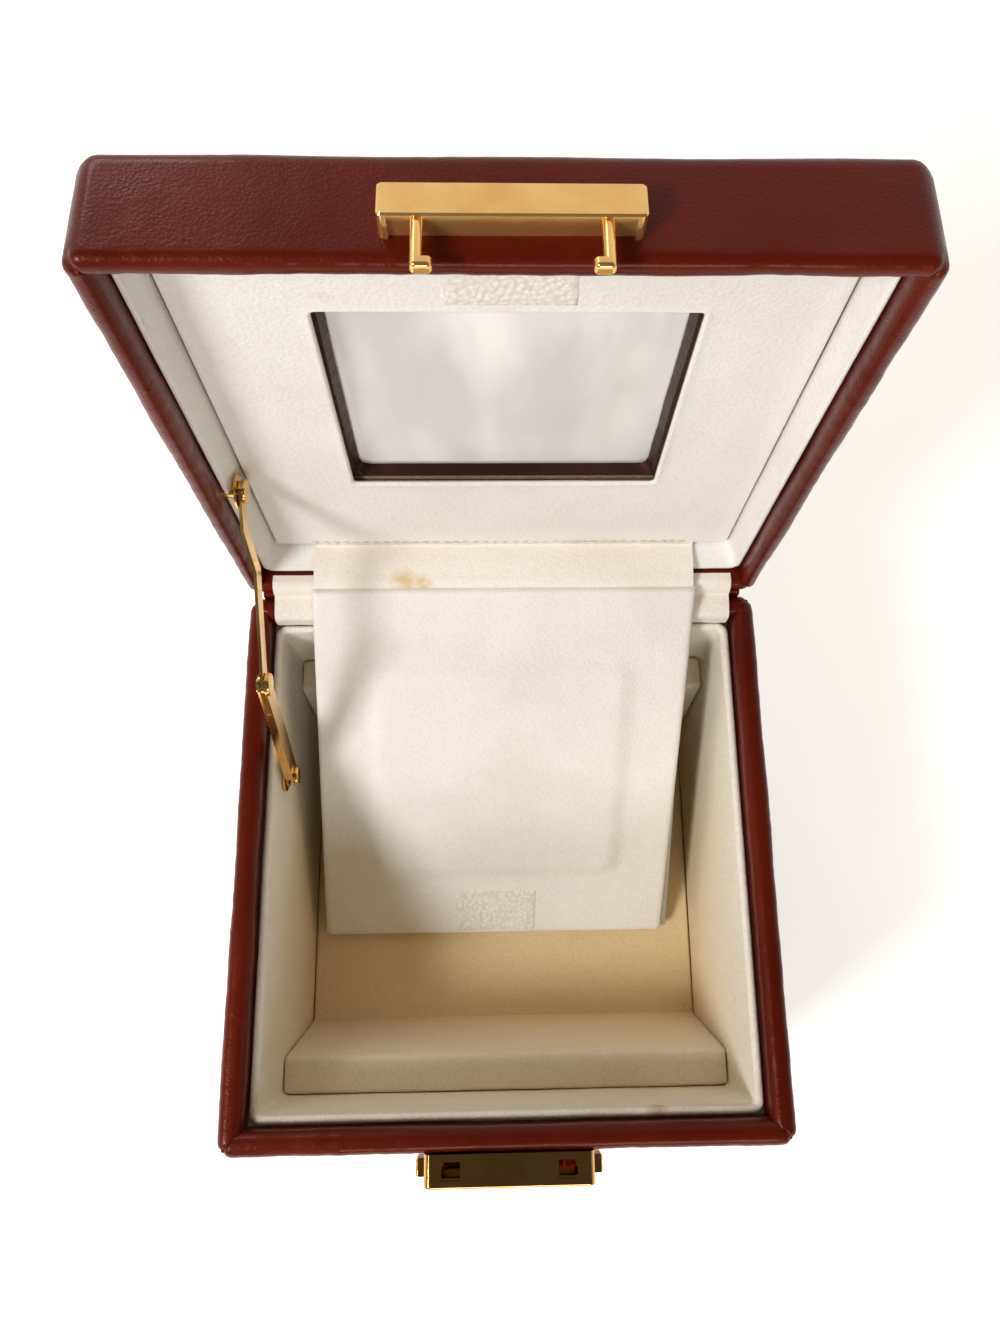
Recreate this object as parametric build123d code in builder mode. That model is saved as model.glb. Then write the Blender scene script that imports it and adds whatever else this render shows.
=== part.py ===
"""Square leather jewellery box with a picture window in its lid and a drawer under its floor.

Units are millimetres. +Z is up, +X is to the right seen from the front, the front faces -Y,
and the origin is at the middle of the base's underside. The lid stands open.

Two frames are used. The box frame is the one above. The lid frame turns with the lid: x is
shared, u runs from the hinge line towards the lid's front edge, and v runs from the rim
towards the lid's top.
"""

from build123d import *
from cmath import exp, phase
from math import asin, atan2, cos, degrees, hypot, radians, sin
import os

os.makedirs("parts", exist_ok=True)

# ---------------------------------------------------------------- driving dimensions
# Shell
box_width = 130.0  # outside, over the leather
box_depth = 130.0
base_height = 100.0
lid_height = 21.0
lid_open_angle = 93.2  # degrees from closed
corner_radius = 3.5  # upright corners
rim_radius = 2.4  # rolled leather at the base's rim
lid_rim_radius = 1.75  # the same at the lid's thinner rim
lid_edge_radius = 3.0  # leather round the lid's top edge
leather_skin = 1.2  # leather with its thin foam
board_wall = 3.5
lid_board_wall = 2.2
turned_leather = 0.8  # leather folded over the rims and down inside
base_turn_depth = 8.0
lid_turn_depth = 6.0
rim_gap = 0.3  # between the two rims when the lid is shut
hinge_set_back = 0.3  # hinge line behind the base's back

# Base, from the bottom up
foot_cloth = 1.0
foot_cloth_inset = 1.5
bottom_board = 3.0
drawer_bay_height = 27.0
shelf_board = 3.0
floor_pad = 1.5

# Base lining
lining_gap = 0.5  # dark gap between the rim leather and the lining
lining_drop = 5.0  # lining's top edge below the rim
lining_thickness = 2.0
lining_lean = 2.45  # how much further in the padded wall stands at the floor
lining_step_gap = 0.3
soft_edge = 0.6  # rounding of covered boards
soft_gap = 0.1  # between lengths of cloth that lie on each other
ledge_drop = 29.0  # ledge top below the rim
ledge_top_depth = 8.8
ledge_floor_depth = 14.0
ledge_end_gap = 0.4

# Lid lining and picture window
lid_strip = 1.2  # lining strips round the lid's inside, at their thinner edge
lid_strip_lean = 1.6  # how much further in they stand at the panel
lid_strip_gap = 0.2
lid_strip_drop = 3.35  # from the lid's rim
panel_depth = 10.4  # lining panel's face above the lid's rim
panel_thickness = 2.2
panel_fit = 0.3
window_width = 66.6
window_length = 61.9
window_forward = 7.35  # from the lid's middle towards its front
lining_window_ease = 0.5  # the lining's opening is this much larger on each side
frame_edge_height = 4.9  # leather edge of the window above the panel's face
bevel_width = 13.0  # slope of the picture frame outside
film_thickness = 0.4
film_inset = 0.1  # behind the leather edge of the window

# Flap that closes the picture window from inside
flap_side_room = 9.3  # from the lining strips
flap_end_room = 0.4
flap_thickness = 3.2
flap_corner = 2.0
flap_edge = 1.2  # rounding of the cover's underside
flap_fold_front = 0.75  # fold in front of the hinge line, lid open
flap_fold_rise = 8.36  # above the base's rim
flap_floor_gap = 0.3
flap_stow_start = 14.2  # from the hinge line to the fold, lid shut
flap_stow_gap = 1.5  # between flap and panel, lid shut
flap_soft_length = 2.0  # cloth before the padded cover starts
flap_core = 1.2
flap_core_margin = 1.5
plug_side_lap = 1.7  # raised pad past the window on each side
plug_near_lap = 6.7
plug_far_lap = -1.1
plug_rise = 1.2
plug_corner = 3.0
plug_taper = 20.0  # degrees
plug_root = 0.1
strip_cloth = 0.6
strip_inset = 0.75  # on each side of the flap
strip_bend = 1.0
stitch_band = 6.0  # strip sewn to the lining panel

# Hook-and-loop patches
patch_width = 23.0
flap_patch_length = 14.2
lid_patch_length = 15.0
patch_thickness = 0.6
patch_corner = 1.0
patch_margin = 1.3  # from the flap's free end

# Lock
case_width = 38.0
case_depth = 7.0
case_height = 14.5
case_top_drop = 0.1  # below the base's rim
case_wall = 0.8
case_corner = 1.5
case_edge = 0.6
slot_offset = 12.9  # from the middle
slot_width = 4.4
slot_depth = 4.2
slot_stand_off = 3.3  # from the leather to the slot's middle
back_plate = 0.8
plate_fit = 0.2
button_proud = 1.9
button_depth = 3.8
button_height = 5.0
button_travel = 1.5
button_fit = 0.15
button_edge = 0.6
button_drop = 1.0  # under the catch's plate
catch_plate = 0.8
catch_plate_lap = 0.3  # past the slot, front and back
catch_tail = 2.0  # plate inside the hook
catch_side = 0.5  # frame beside the catch's slot
catch_web_inset = 0.5
catch_plate_gap = 0.15  # under the case's top
catch_clear = 0.3  # between the catch and the hook
spring_leaf = 0.3
spring_width = 2.4
spring_bow = 4.0
bar_width = 38.5
bar_height = 5.9
bar_proud = 5.2
bar_rise = 4.0  # above the lid's rim
bar_corner = 0.8
bar_edge = 0.3
bar_sheet = 0.6  # edge round the hollow under the bar
bar_hollow = 0.7
hook_stem = 1.8
hook_foot = 3.2
hook_depth = 2.4
hook_thickness = 1.6
hook_corner = 0.85
hook_edge = 0.7
rivet_radius = 1.1
rivet_head_radius = 2.2
rivet_head = 0.6
lock_rivet_rise = 4.0  # above the case's underside
lock_rivet_x = 8.0
bar_rivet_x = 10.0

# Lid stay, in the plane of the left wall
stay_lid_u = 47.3
stay_lid_v = 5.7
stay_base_front = 43.9  # in front of the hinge line
stay_base_drop = 15.4  # below the rim
stay_knee_front = 29.0
stay_knee_rise = 23.8  # above the rim
arm_width = 4.6
arm_thickness = 0.7
leaf_thickness = 0.5
leaf_gap = 1.0
leaf_width = 5.4
stay_gap = 0.15
web_knee_gap = 9.0  # web ends this far before the knee
web_pin_gap = 3.0
arm_end_share = 0.98  # of a half circle
pin_radius = 1.4
pin_fit = 0.08
pivot_disc_radius = 4.0
pivot_disc = 0.4
stay_head_radius = 2.6
stay_head = 0.7
head_dome = 0.6  # of a head's height
knee_collar = 0.6
crank_start = 8.5
crank_length = 9.0

# Drawer
drawer_opening_side = 8.0  # front wall left beside the opening
drawer_front_gap = 0.5
drawer_front_board = 3.5
drawer_front_edge = 0.96
drawer_box_inset = 0.1  # behind the front's ends
drawer_box_top_gap = 3.7
drawer_side = 2.4
drawer_bottom = 2.0
drawer_lift = 0.3
drawer_pad = 1.5
drawer_wall_lining = 0.8
runner_height = 8.0
runner_gap = 0.3
stop_depth = 4.0
stop_gap = 0.6
stop_back_gap = 2.0
knob_radius = 5.0
knob_proud = 9.0
knob_neck_radius = 2.2
knob_base_radius = 3.6
knob_base = 0.8
knob_neck_start = 2.4
knob_neck_end = 4.2
knob_belly = 6.4
knob_shoulder = 8.2
knob_shoulder_radius = 3.6
screw_radius = 1.5
screw_head_radius = 3.0
screw_head = 1.6

# Soft hinge
hinge_leather = 0.8
hinge_leather_leg = 11.0
gusset_cloth = 0.5
gusset_side_gap = 1.0
gusset_bend = 0.6

# ---------------------------------------------------------------- places worked out from them
half_width = box_width / 2
half_depth = box_depth / 2
carcass_width = box_width - 2 * leather_skin
carcass_depth = box_depth - 2 * leather_skin
inner_width = carcass_width - 2 * board_wall
inner_depth = carcass_depth - 2 * board_wall
mouth_width = inner_width - 2 * turned_leather
mouth_depth = inner_depth - 2 * turned_leather
lid_inner_width = carcass_width - 2 * lid_board_wall
lid_inner_depth = carcass_depth - 2 * lid_board_wall
lid_mouth_width = lid_inner_width - 2 * turned_leather
lid_mouth_depth = lid_inner_depth - 2 * turned_leather
carcass_corner = corner_radius - leather_skin
carcass_top = base_height - leather_skin
bay_floor = foot_cloth + bottom_board
shelf_under = bay_floor + drawer_bay_height
shelf_top = shelf_under + shelf_board
floor_z = shelf_top + floor_pad
lining_top = base_height - lining_drop
ledge_z = base_height - ledge_drop

hinge_y = half_depth + hinge_set_back
hinge_z = base_height + rim_gap / 2
open_radians = radians(lid_open_angle)
v_direction = (0, sin(open_radians), cos(open_radians))
u_direction = (0, -cos(open_radians), sin(open_radians))
lid_frame = Plane(origin=(0, hinge_y, hinge_z), x_dir=(1, 0, 0), z_dir=v_direction)
lid_rim = rim_gap / 2
lid_top = lid_rim + lid_height
lid_middle = hinge_set_back + half_depth
lid_front = hinge_set_back + box_depth
panel_face = lid_rim + panel_depth
ceiling = panel_face + panel_thickness
frame_edge = panel_face + frame_edge_height
window_middle = lid_middle + window_forward


def lid_plane(v):
    """Plane at height v in the lid frame; its sketch coordinates are (x, -u)."""
    return lid_frame.offset(v)


def lid_point(u, v):
    """Box-frame (y, z) of a point given in the lid frame."""
    return (
        hinge_y + u * u_direction[1] + v * v_direction[1],
        hinge_z + u * u_direction[2] + v * v_direction[2],
    )


def lean_at(z):
    """How far the base lining has leaned in at height z."""
    return lining_lean * (lining_top - z) / (lining_top - floor_z)


def save(builder, name):
    """Label a finished piece and write its STEP file."""
    builder.part.label = name
    export_step(builder.part, f"parts/{name}.step")


# ---------------------------------------------------------------- rivets that other pieces make room for
case_top = base_height - case_top_drop
case_bottom = case_top - case_height
lock_rivet_z = case_bottom + lock_rivet_rise
wall_stack = leather_skin + board_wall
lid_wall_stack = leather_skin + lid_board_wall

with BuildPart() as lock_rivets:
    with BuildSketch(Plane.XZ.offset(half_depth - wall_stack)):
        with Locations((-lock_rivet_x, lock_rivet_z), (lock_rivet_x, lock_rivet_z)):
            Circle(rivet_radius)
    extrude(amount=wall_stack + back_plate)
    with BuildSketch(Plane.XZ.offset(half_depth + back_plate)):
        with Locations((-lock_rivet_x, lock_rivet_z), (lock_rivet_x, lock_rivet_z)):
            Circle(rivet_head_radius)
    extrude(amount=rivet_head)
save(lock_rivets, "lock_rivets")

bar_middle_v = lid_rim + bar_rise + bar_height / 2
with BuildPart() as bar_rivets:
    lid_front_plane = Plane(
        origin=(0, *lid_point(lid_front - lid_wall_stack, bar_middle_v)),
        x_dir=(1, 0, 0),
        z_dir=u_direction,
    )
    with BuildSketch(lid_front_plane):
        with Locations((-bar_rivet_x, 0), (bar_rivet_x, 0)):
            Circle(rivet_radius)
    extrude(amount=lid_wall_stack)
save(bar_rivets, "bar_rivets")

# ---------------------------------------------------------------- base shell
drawer_opening_width = box_width - 2 * drawer_opening_side

with BuildPart() as base_foot_cloth:
    with BuildSketch(Plane.XY):
        RectangleRounded(
            box_width - 2 * foot_cloth_inset, box_depth - 2 * foot_cloth_inset, carcass_corner
        )
    extrude(amount=foot_cloth)
save(base_foot_cloth, "base_foot_cloth")

with BuildPart() as base_carcass:
    with BuildSketch(Plane.XY.offset(foot_cloth)):
        RectangleRounded(carcass_width, carcass_depth, carcass_corner)
    extrude(amount=carcass_top - foot_cloth)
    with BuildSketch(Plane.XY.offset(shelf_top)):
        Rectangle(inner_width, inner_depth)
    extrude(amount=carcass_top - shelf_top, mode=Mode.SUBTRACT)
    with BuildSketch(Plane.XY.offset(bay_floor)):
        Rectangle(inner_width, inner_depth)
        with Locations((0, -half_depth)):
            Rectangle(drawer_opening_width, 4 * wall_stack)
    extrude(amount=drawer_bay_height, mode=Mode.SUBTRACT)
    add(lock_rivets.part, mode=Mode.SUBTRACT)
save(base_carcass, "base_carcass")

with BuildPart() as base_leather:
    with BuildSketch(Plane.XY.offset(foot_cloth)):
        RectangleRounded(box_width, box_depth, corner_radius)
    extrude(amount=base_height - foot_cloth)
    with BuildSketch(Plane.XY.offset(base_height)):
        Rectangle(mouth_width, mouth_depth)
    extrude(amount=-base_turn_depth, mode=Mode.SUBTRACT)
    fillet(base_leather.faces().sort_by(Axis.Z)[-1].edges(), radius=rim_radius)
    with BuildSketch(Plane.XY.offset(foot_cloth)):
        RectangleRounded(carcass_width, carcass_depth, carcass_corner)
    extrude(amount=base_height - base_turn_depth - foot_cloth, mode=Mode.SUBTRACT)
    with BuildSketch(Plane.XY.offset(base_height - base_turn_depth)):
        RectangleRounded(carcass_width, carcass_depth, carcass_corner)
        Rectangle(inner_width, inner_depth, mode=Mode.SUBTRACT)
    extrude(amount=carcass_top - base_height + base_turn_depth, mode=Mode.SUBTRACT)
    with BuildSketch(Plane.XY.offset(bay_floor)):
        with Locations((0, -half_depth)):
            Rectangle(drawer_opening_width, 4 * wall_stack)
    extrude(amount=drawer_bay_height, mode=Mode.SUBTRACT)
    add(lock_rivets.part, mode=Mode.SUBTRACT)
save(base_leather, "base_leather")

# ---------------------------------------------------------------- base lining
with BuildPart() as lining_floor:
    with BuildSketch(Plane.XY.offset(shelf_top)):
        Rectangle(inner_width, inner_depth)
    extrude(amount=floor_pad)
save(lining_floor, "lining_floor")


def lining_profile(half_inner, half_mouth):
    """Cross-section of a padded wall as (distance from the middle, z) points."""
    step_z = base_height - base_turn_depth - lining_step_gap
    outer_top = half_mouth - lining_gap
    inner_top = outer_top - lining_thickness
    return [
        (half_inner, floor_z),
        (half_inner, step_z),
        (outer_top, step_z),
        (outer_top, lining_top),
        (inner_top, lining_top),
        (inner_top - lining_lean, floor_z),
    ]


lining_inner_x = mouth_width / 2 - lining_gap - lining_thickness
lining_inner_y = mouth_depth / 2 - lining_gap - lining_thickness
side_profile = lining_profile(inner_width / 2, mouth_width / 2)
end_profile = lining_profile(inner_depth / 2, mouth_depth / 2)


def side_lining(side):
    """Padded wall along the box's left (-1) or right (+1) side."""
    with BuildPart() as wall:
        with BuildSketch(Plane.XZ):
            Polygon([(side * r, z) for r, z in side_profile], align=None)
        extrude(amount=mouth_depth / 2 - lining_gap, both=True)
        fillet(wall.faces().sort_by(Axis.Z)[-1].edges().filter_by(Axis.Y), radius=soft_edge)
    return wall


lining_left = side_lining(-1)
save(lining_left, "lining_left")
lining_right = side_lining(1)
save(lining_right, "lining_right")


def end_lining(end):
    """Padded wall at the box's front (-1) or back (+1), between the side walls."""
    with BuildPart() as wall:
        with BuildSketch(Plane.YZ):
            Polygon([(end * r, z) for r, z in end_profile], align=None)
        extrude(amount=lining_inner_x, both=True)
        fillet(wall.faces().sort_by(Axis.Z)[-1].edges().filter_by(Axis.X), radius=soft_edge)
        add(lining_left.part, mode=Mode.SUBTRACT)
        add(lining_right.part, mode=Mode.SUBTRACT)
    return wall


lining_front = end_lining(-1)
save(lining_front, "lining_front")
lining_back = end_lining(1)
save(lining_back, "lining_back")


def tray_ledge(end):
    """Covered block along the front (-1) or back (+1) wall that carries a lift-out tray."""
    with BuildPart() as block:
        for z, depth in ((floor_z, ledge_floor_depth), (ledge_z, ledge_top_depth)):
            half_length = lining_inner_x - lean_at(z) - ledge_end_gap
            wall_y = lining_inner_y - lean_at(z)
            with BuildSketch(Plane.XY.offset(z)):
                with Locations((0, end * (wall_y - depth / 2))):
                    Rectangle(2 * half_length, depth)
        loft(ruled=True)
        fillet(block.faces().sort_by(Axis.Z)[-1].edges().filter_by(Axis.X), radius=soft_edge)
    return block


save(tray_ledge(-1), "ledge_front")
save(tray_ledge(1), "ledge_back")

# ---------------------------------------------------------------- drawer
drawer_front_face = -half_depth
drawer_front_width = drawer_opening_width - 2 * drawer_front_gap
drawer_front_height = drawer_bay_height - 2 * drawer_front_gap
drawer_front_middle = bay_floor + drawer_bay_height / 2
drawer_box_front = drawer_front_face + leather_skin + drawer_front_board
drawer_box_width = drawer_front_width - 2 * drawer_box_inset
drawer_stop_back = inner_depth / 2 - stop_back_gap
drawer_box_depth = drawer_stop_back - stop_depth - stop_gap - drawer_box_front
drawer_box_height = drawer_bay_height - drawer_lift - drawer_box_top_gap
drawer_box_bottom = bay_floor + drawer_lift
drawer_box_middle = drawer_box_front + drawer_box_depth / 2
drawer_cavity_width = drawer_box_width - 2 * drawer_side
drawer_cavity_depth = drawer_box_depth - 2 * drawer_side
drawer_floor = drawer_box_bottom + drawer_bottom

with BuildPart() as drawer_screw:
    with BuildSketch(Plane.XZ.offset(-drawer_box_front - drawer_side)):
        with Locations((0, drawer_front_middle)):
            Circle(screw_head_radius)
    extrude(amount=-screw_head)
    with BuildSketch(Plane.XZ.offset(-drawer_box_front - drawer_side)):
        with Locations((0, drawer_front_middle)):
            Circle(screw_radius)
    extrude(amount=drawer_side + drawer_front_board + leather_skin + knob_proud / 2)
save(drawer_screw, "drawer_screw")

with BuildPart() as drawer_front:
    with BuildSketch(Plane.XZ.offset(-drawer_box_front)):
        with Locations((0, drawer_front_middle)):
            Rectangle(drawer_front_width, drawer_front_height)
    extrude(amount=drawer_front_board)
    add(drawer_screw.part, mode=Mode.SUBTRACT)
save(drawer_front, "drawer_front")

with BuildPart() as drawer_front_leather:
    with BuildSketch(Plane.XZ.offset(half_depth - leather_skin)):
        with Locations((0, drawer_front_middle)):
            Rectangle(drawer_front_width, drawer_front_height)
    extrude(amount=leather_skin)
    fillet(
        drawer_front_leather.faces().sort_by(Axis.Y)[0].edges(), radius=drawer_front_edge
    )
    add(drawer_screw.part, mode=Mode.SUBTRACT)
save(drawer_front_leather, "drawer_front_leather")

with BuildPart() as drawer_box:
    with BuildSketch(Plane.XY.offset(drawer_box_bottom)):
        with Locations((0, drawer_box_middle)):
            Rectangle(drawer_box_width, drawer_box_depth)
    extrude(amount=drawer_box_height)
    with BuildSketch(Plane.XY.offset(drawer_floor)):
        with Locations((0, drawer_box_middle)):
            Rectangle(drawer_cavity_width, drawer_cavity_depth)
    extrude(amount=drawer_box_height, mode=Mode.SUBTRACT)
    add(drawer_screw.part, mode=Mode.SUBTRACT)
save(drawer_box, "drawer_box")

with BuildPart() as drawer_lining:
    with BuildSketch(Plane.XY.offset(drawer_floor)):
        with Locations((0, drawer_box_middle)):
            Rectangle(drawer_cavity_width, drawer_cavity_depth)
    extrude(amount=drawer_box_height - drawer_bottom - drawer_side)
    with BuildSketch(Plane.XY.offset(drawer_floor + drawer_pad)):
        with Locations((0, drawer_box_middle)):
            Rectangle(
                drawer_cavity_width - 2 * drawer_wall_lining,
                drawer_cavity_depth - 2 * drawer_wall_lining,
            )
    extrude(amount=drawer_box_height, mode=Mode.SUBTRACT)
    with BuildSketch(Plane.XZ.offset(-drawer_box_front - drawer_side)):
        with Locations((0, drawer_front_middle)):
            Circle(screw_head_radius + button_fit)
    extrude(amount=-2 * screw_head, mode=Mode.SUBTRACT)
save(drawer_lining, "drawer_lining")

with BuildPart() as drawer_knob:
    with BuildSketch(Plane.YZ):
        with BuildLine():
            Polyline(
                (drawer_front_face, drawer_front_middle),
                (drawer_front_face, drawer_front_middle + knob_base_radius),
                (drawer_front_face - knob_base, drawer_front_middle + knob_base_radius),
                (drawer_front_face - knob_neck_start, drawer_front_middle + knob_neck_radius),
                (drawer_front_face - knob_neck_end, drawer_front_middle + knob_neck_radius),
            )
            Spline(
                (drawer_front_face - knob_neck_end, drawer_front_middle + knob_neck_radius),
                (drawer_front_face - knob_belly, drawer_front_middle + knob_radius),
                (drawer_front_face - knob_shoulder, drawer_front_middle + knob_shoulder_radius),
                (drawer_front_face - knob_proud, drawer_front_middle),
                tangents=((0, 1), (0, -1)),
            )
            Line(
                (drawer_front_face - knob_proud, drawer_front_middle),
                (drawer_front_face, drawer_front_middle),
            )
        make_face()
    revolve(axis=Axis((0, 0, drawer_front_middle), (0, 1, 0)))
    add(drawer_screw.part, mode=Mode.SUBTRACT)
save(drawer_knob, "drawer_knob")

runner_outer = inner_width / 2
runner_inner = drawer_box_width / 2 + runner_gap
for side, name in ((-1, "runner_left"), (1, "runner_right")):
    with BuildPart() as runner:
        with BuildSketch(Plane.XY.offset(bay_floor)):
            with Locations((side * (runner_outer + runner_inner) / 2, 0)):
                Rectangle(runner_outer - runner_inner, inner_depth)
        extrude(amount=runner_height)
    save(runner, name)

with BuildPart() as drawer_stop:
    with BuildSketch(Plane.XY.offset(bay_floor)):
        with Locations((0, drawer_stop_back - stop_depth / 2)):
            Rectangle(drawer_box_width / 2, stop_depth)
    extrude(amount=runner_height)
save(drawer_stop, "drawer_stop")

# ---------------------------------------------------------------- lock on the base
slot_y = -half_depth - slot_stand_off
catch_top = case_top - case_wall - catch_plate_gap
foot_top = catch_top - catch_plate - catch_clear
button_z = catch_top - catch_plate - button_drop - button_height / 2
button_y = -half_depth - back_plate - plate_fit - button_depth / 2

with BuildPart() as lock_case:
    with BuildSketch(Plane.XZ.offset(half_depth)):
        with Locations((0, (case_top + case_bottom) / 2)):
            RectangleRounded(case_width, case_height, case_corner)
    extrude(amount=case_depth)
    fillet(lock_case.faces().sort_by(Axis.Y)[0].edges(), radius=case_edge)
    with BuildSketch(Plane.XZ.offset(half_depth)):
        with Locations((0, (case_top + case_bottom) / 2)):
            RectangleRounded(
                case_width - 2 * case_wall, case_height - 2 * case_wall, case_corner - case_wall
            )
    extrude(amount=case_depth - case_wall, mode=Mode.SUBTRACT)
    with BuildSketch(Plane.XY.offset(case_top)):
        with Locations((-slot_offset, slot_y), (slot_offset, slot_y)):
            Rectangle(slot_width, slot_depth)
    extrude(amount=-2 * case_wall, mode=Mode.SUBTRACT)
    with BuildSketch(Plane.YZ):
        with Locations((button_y, button_z)):
            Rectangle(button_depth + 2 * button_fit, button_height + 2 * button_fit)
    extrude(amount=case_width, both=True, mode=Mode.SUBTRACT)
save(lock_case, "lock_case")

with BuildPart() as lock_back_plate:
    with BuildSketch(Plane.XZ.offset(half_depth)):
        with Locations((0, (case_top + case_bottom) / 2)):
            RectangleRounded(
                case_width - 2 * case_wall - 2 * plate_fit,
                case_height - 2 * case_wall - 2 * plate_fit,
                case_corner - case_wall,
            )
    extrude(amount=back_plate)
    add(lock_rivets.part, mode=Mode.SUBTRACT)
save(lock_back_plate, "lock_back_plate")

hook_outer = slot_offset + hook_foot / 2
hook_inner = slot_offset - hook_foot / 2
catch_outer = case_width / 2 - case_wall - 2 * plate_fit
catch_inner = hook_inner - catch_tail
catch_plate_depth = slot_depth + 2 * catch_plate_lap
button_inner = hook_outer + button_travel + 2 * catch_clear
for side, name in ((-1, "catch_left"), (1, "catch_right")):
    with BuildPart() as catch:
        with BuildSketch(Plane.XY.offset(catch_top - catch_plate)):
            with Locations((side * (catch_outer + catch_inner) / 2, slot_y)):
                Rectangle(catch_outer - catch_inner, catch_plate_depth)
            window_in = hook_inner - catch_clear
            window_out = hook_outer + button_travel + catch_clear
            with Locations((side * (window_in + window_out) / 2, slot_y)):
                Rectangle(
                    window_out - window_in, slot_depth - 2 * catch_side, mode=Mode.SUBTRACT
                )
        extrude(amount=catch_plate)
        with BuildSketch(Plane.YZ.offset(side * button_inner)):
            with Locations((button_y, button_z)):
                Rectangle(button_depth, button_height)
        extrude(amount=side * (case_width / 2 + button_proud - button_inner))
        with BuildSketch(Plane.YZ.offset(side * window_out)):
            with Locations((button_y, (button_z + catch_top) / 2)):
                Rectangle(button_depth - 2 * catch_web_inset, catch_top - button_z)
        extrude(amount=side * (catch_outer - window_out))
        fillet(
            catch.faces().sort_by(Axis.X)[0 if side < 0 else -1].edges(), radius=button_edge
        )
    save(catch, name)

with BuildPart() as catch_spring:
    with BuildSketch(Plane.XZ.offset(-button_y - spring_width / 2)):
        with BuildLine():
            ThreePointArc(
                (-button_inner + spring_leaf, button_z),
                (0, button_z - spring_bow),
                (button_inner - spring_leaf, button_z),
            )
        trace(line_width=spring_leaf)
    extrude(amount=spring_width)
save(catch_spring, "catch_spring")

# ---------------------------------------------------------------- lid shell
window_centre = (0, -window_middle)


def window_sketch(plane, grow):
    """Rectangle of the picture window, larger by grow on every side."""
    with BuildSketch(plane) as opening:
        with Locations(window_centre):
            Rectangle(window_width + 2 * grow, window_length + 2 * grow)
    return opening.sketch


with BuildPart() as bevel:
    bevel_foot = window_sketch(lid_plane(0), 0)
    bevel_mouth = window_sketch(lid_plane(lid_top - frame_edge), bevel_width)
    loft(sections=[bevel_foot.face(), bevel_mouth.face()], ruled=True)
    extrude(bevel_mouth, amount=leather_skin * 2)

bevel_slope = (lid_top - frame_edge) / bevel_width
skin_under_bevel = leather_skin * hypot(1, bevel_slope)


def bevel_at(v):
    """The bevel's cut with its lower edge at height v."""
    return bevel.part.moved(Location(Vector(*v_direction) * v))


with BuildPart() as lid_carcass:
    with BuildSketch(lid_plane(lid_rim + leather_skin)):
        with Locations((0, -lid_middle)):
            RectangleRounded(carcass_width, carcass_depth, carcass_corner)
    extrude(amount=lid_height - 2 * leather_skin)
    with BuildSketch(lid_plane(lid_rim + leather_skin)):
        with Locations((0, -lid_middle)):
            Rectangle(lid_inner_width, lid_inner_depth)
    extrude(amount=ceiling - lid_rim - leather_skin, mode=Mode.SUBTRACT)
    extrude(
        window_sketch(lid_plane(ceiling), turned_leather), amount=lid_height, mode=Mode.SUBTRACT
    )
    add(bevel_at(frame_edge - skin_under_bevel), mode=Mode.SUBTRACT)
    add(bar_rivets.part, mode=Mode.SUBTRACT)
save(lid_carcass, "lid_carcass")

with BuildPart() as lid_leather:
    with BuildSketch(lid_plane(lid_rim)):
        with Locations((0, -lid_middle)):
            RectangleRounded(box_width, box_depth, corner_radius)
    extrude(amount=lid_height)
    lid_axis = Axis((0, hinge_y, hinge_z), v_direction)
    fillet(lid_leather.faces().sort_by(lid_axis)[-1].edges(), radius=lid_edge_radius)
    with BuildSketch(lid_plane(lid_rim)):
        with Locations((0, -lid_middle)):
            Rectangle(lid_mouth_width, lid_mouth_depth)
    extrude(amount=lid_turn_depth, mode=Mode.SUBTRACT)
    fillet(lid_leather.faces().sort_by(lid_axis)[0].edges(), radius=lid_rim_radius)
    with BuildSketch(lid_plane(lid_rim + leather_skin)):
        with Locations((0, -lid_middle)):
            RectangleRounded(carcass_width, carcass_depth, carcass_corner)
            Rectangle(lid_inner_width, lid_inner_depth, mode=Mode.SUBTRACT)
    extrude(amount=lid_turn_depth - leather_skin, mode=Mode.SUBTRACT)
    with BuildSketch(lid_plane(lid_rim + lid_turn_depth)):
        with Locations((0, -lid_middle)):
            RectangleRounded(carcass_width, carcass_depth, carcass_corner)
    extrude(amount=ceiling - lid_rim - lid_turn_depth, mode=Mode.SUBTRACT)
    with BuildPart(mode=Mode.PRIVATE) as top_board_room:
        with BuildSketch(lid_plane(ceiling)):
            with Locations((0, -lid_middle)):
                RectangleRounded(carcass_width, carcass_depth, carcass_corner)
        extrude(amount=lid_height - leather_skin - (ceiling - lid_rim))
        extrude(
            window_sketch(lid_plane(ceiling), turned_leather),
            amount=lid_height,
            mode=Mode.SUBTRACT,
        )
        add(bevel_at(frame_edge - skin_under_bevel), mode=Mode.SUBTRACT)
    add(top_board_room.part, mode=Mode.SUBTRACT)
    extrude(window_sketch(lid_plane(ceiling), 0), amount=lid_height, mode=Mode.SUBTRACT)
    add(bevel_at(frame_edge), mode=Mode.SUBTRACT)
    add(bar_rivets.part, mode=Mode.SUBTRACT)
save(lid_leather, "lid_leather")

# ---------------------------------------------------------------- lid lining, film and patch
# The film is glued in the outer end of the window's leather-lined tunnel.
film_under = frame_edge - film_inset - film_thickness
with BuildPart() as window_film:
    extrude(window_sketch(lid_plane(film_under), 0), amount=film_thickness)
save(window_film, "window_film")

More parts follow.
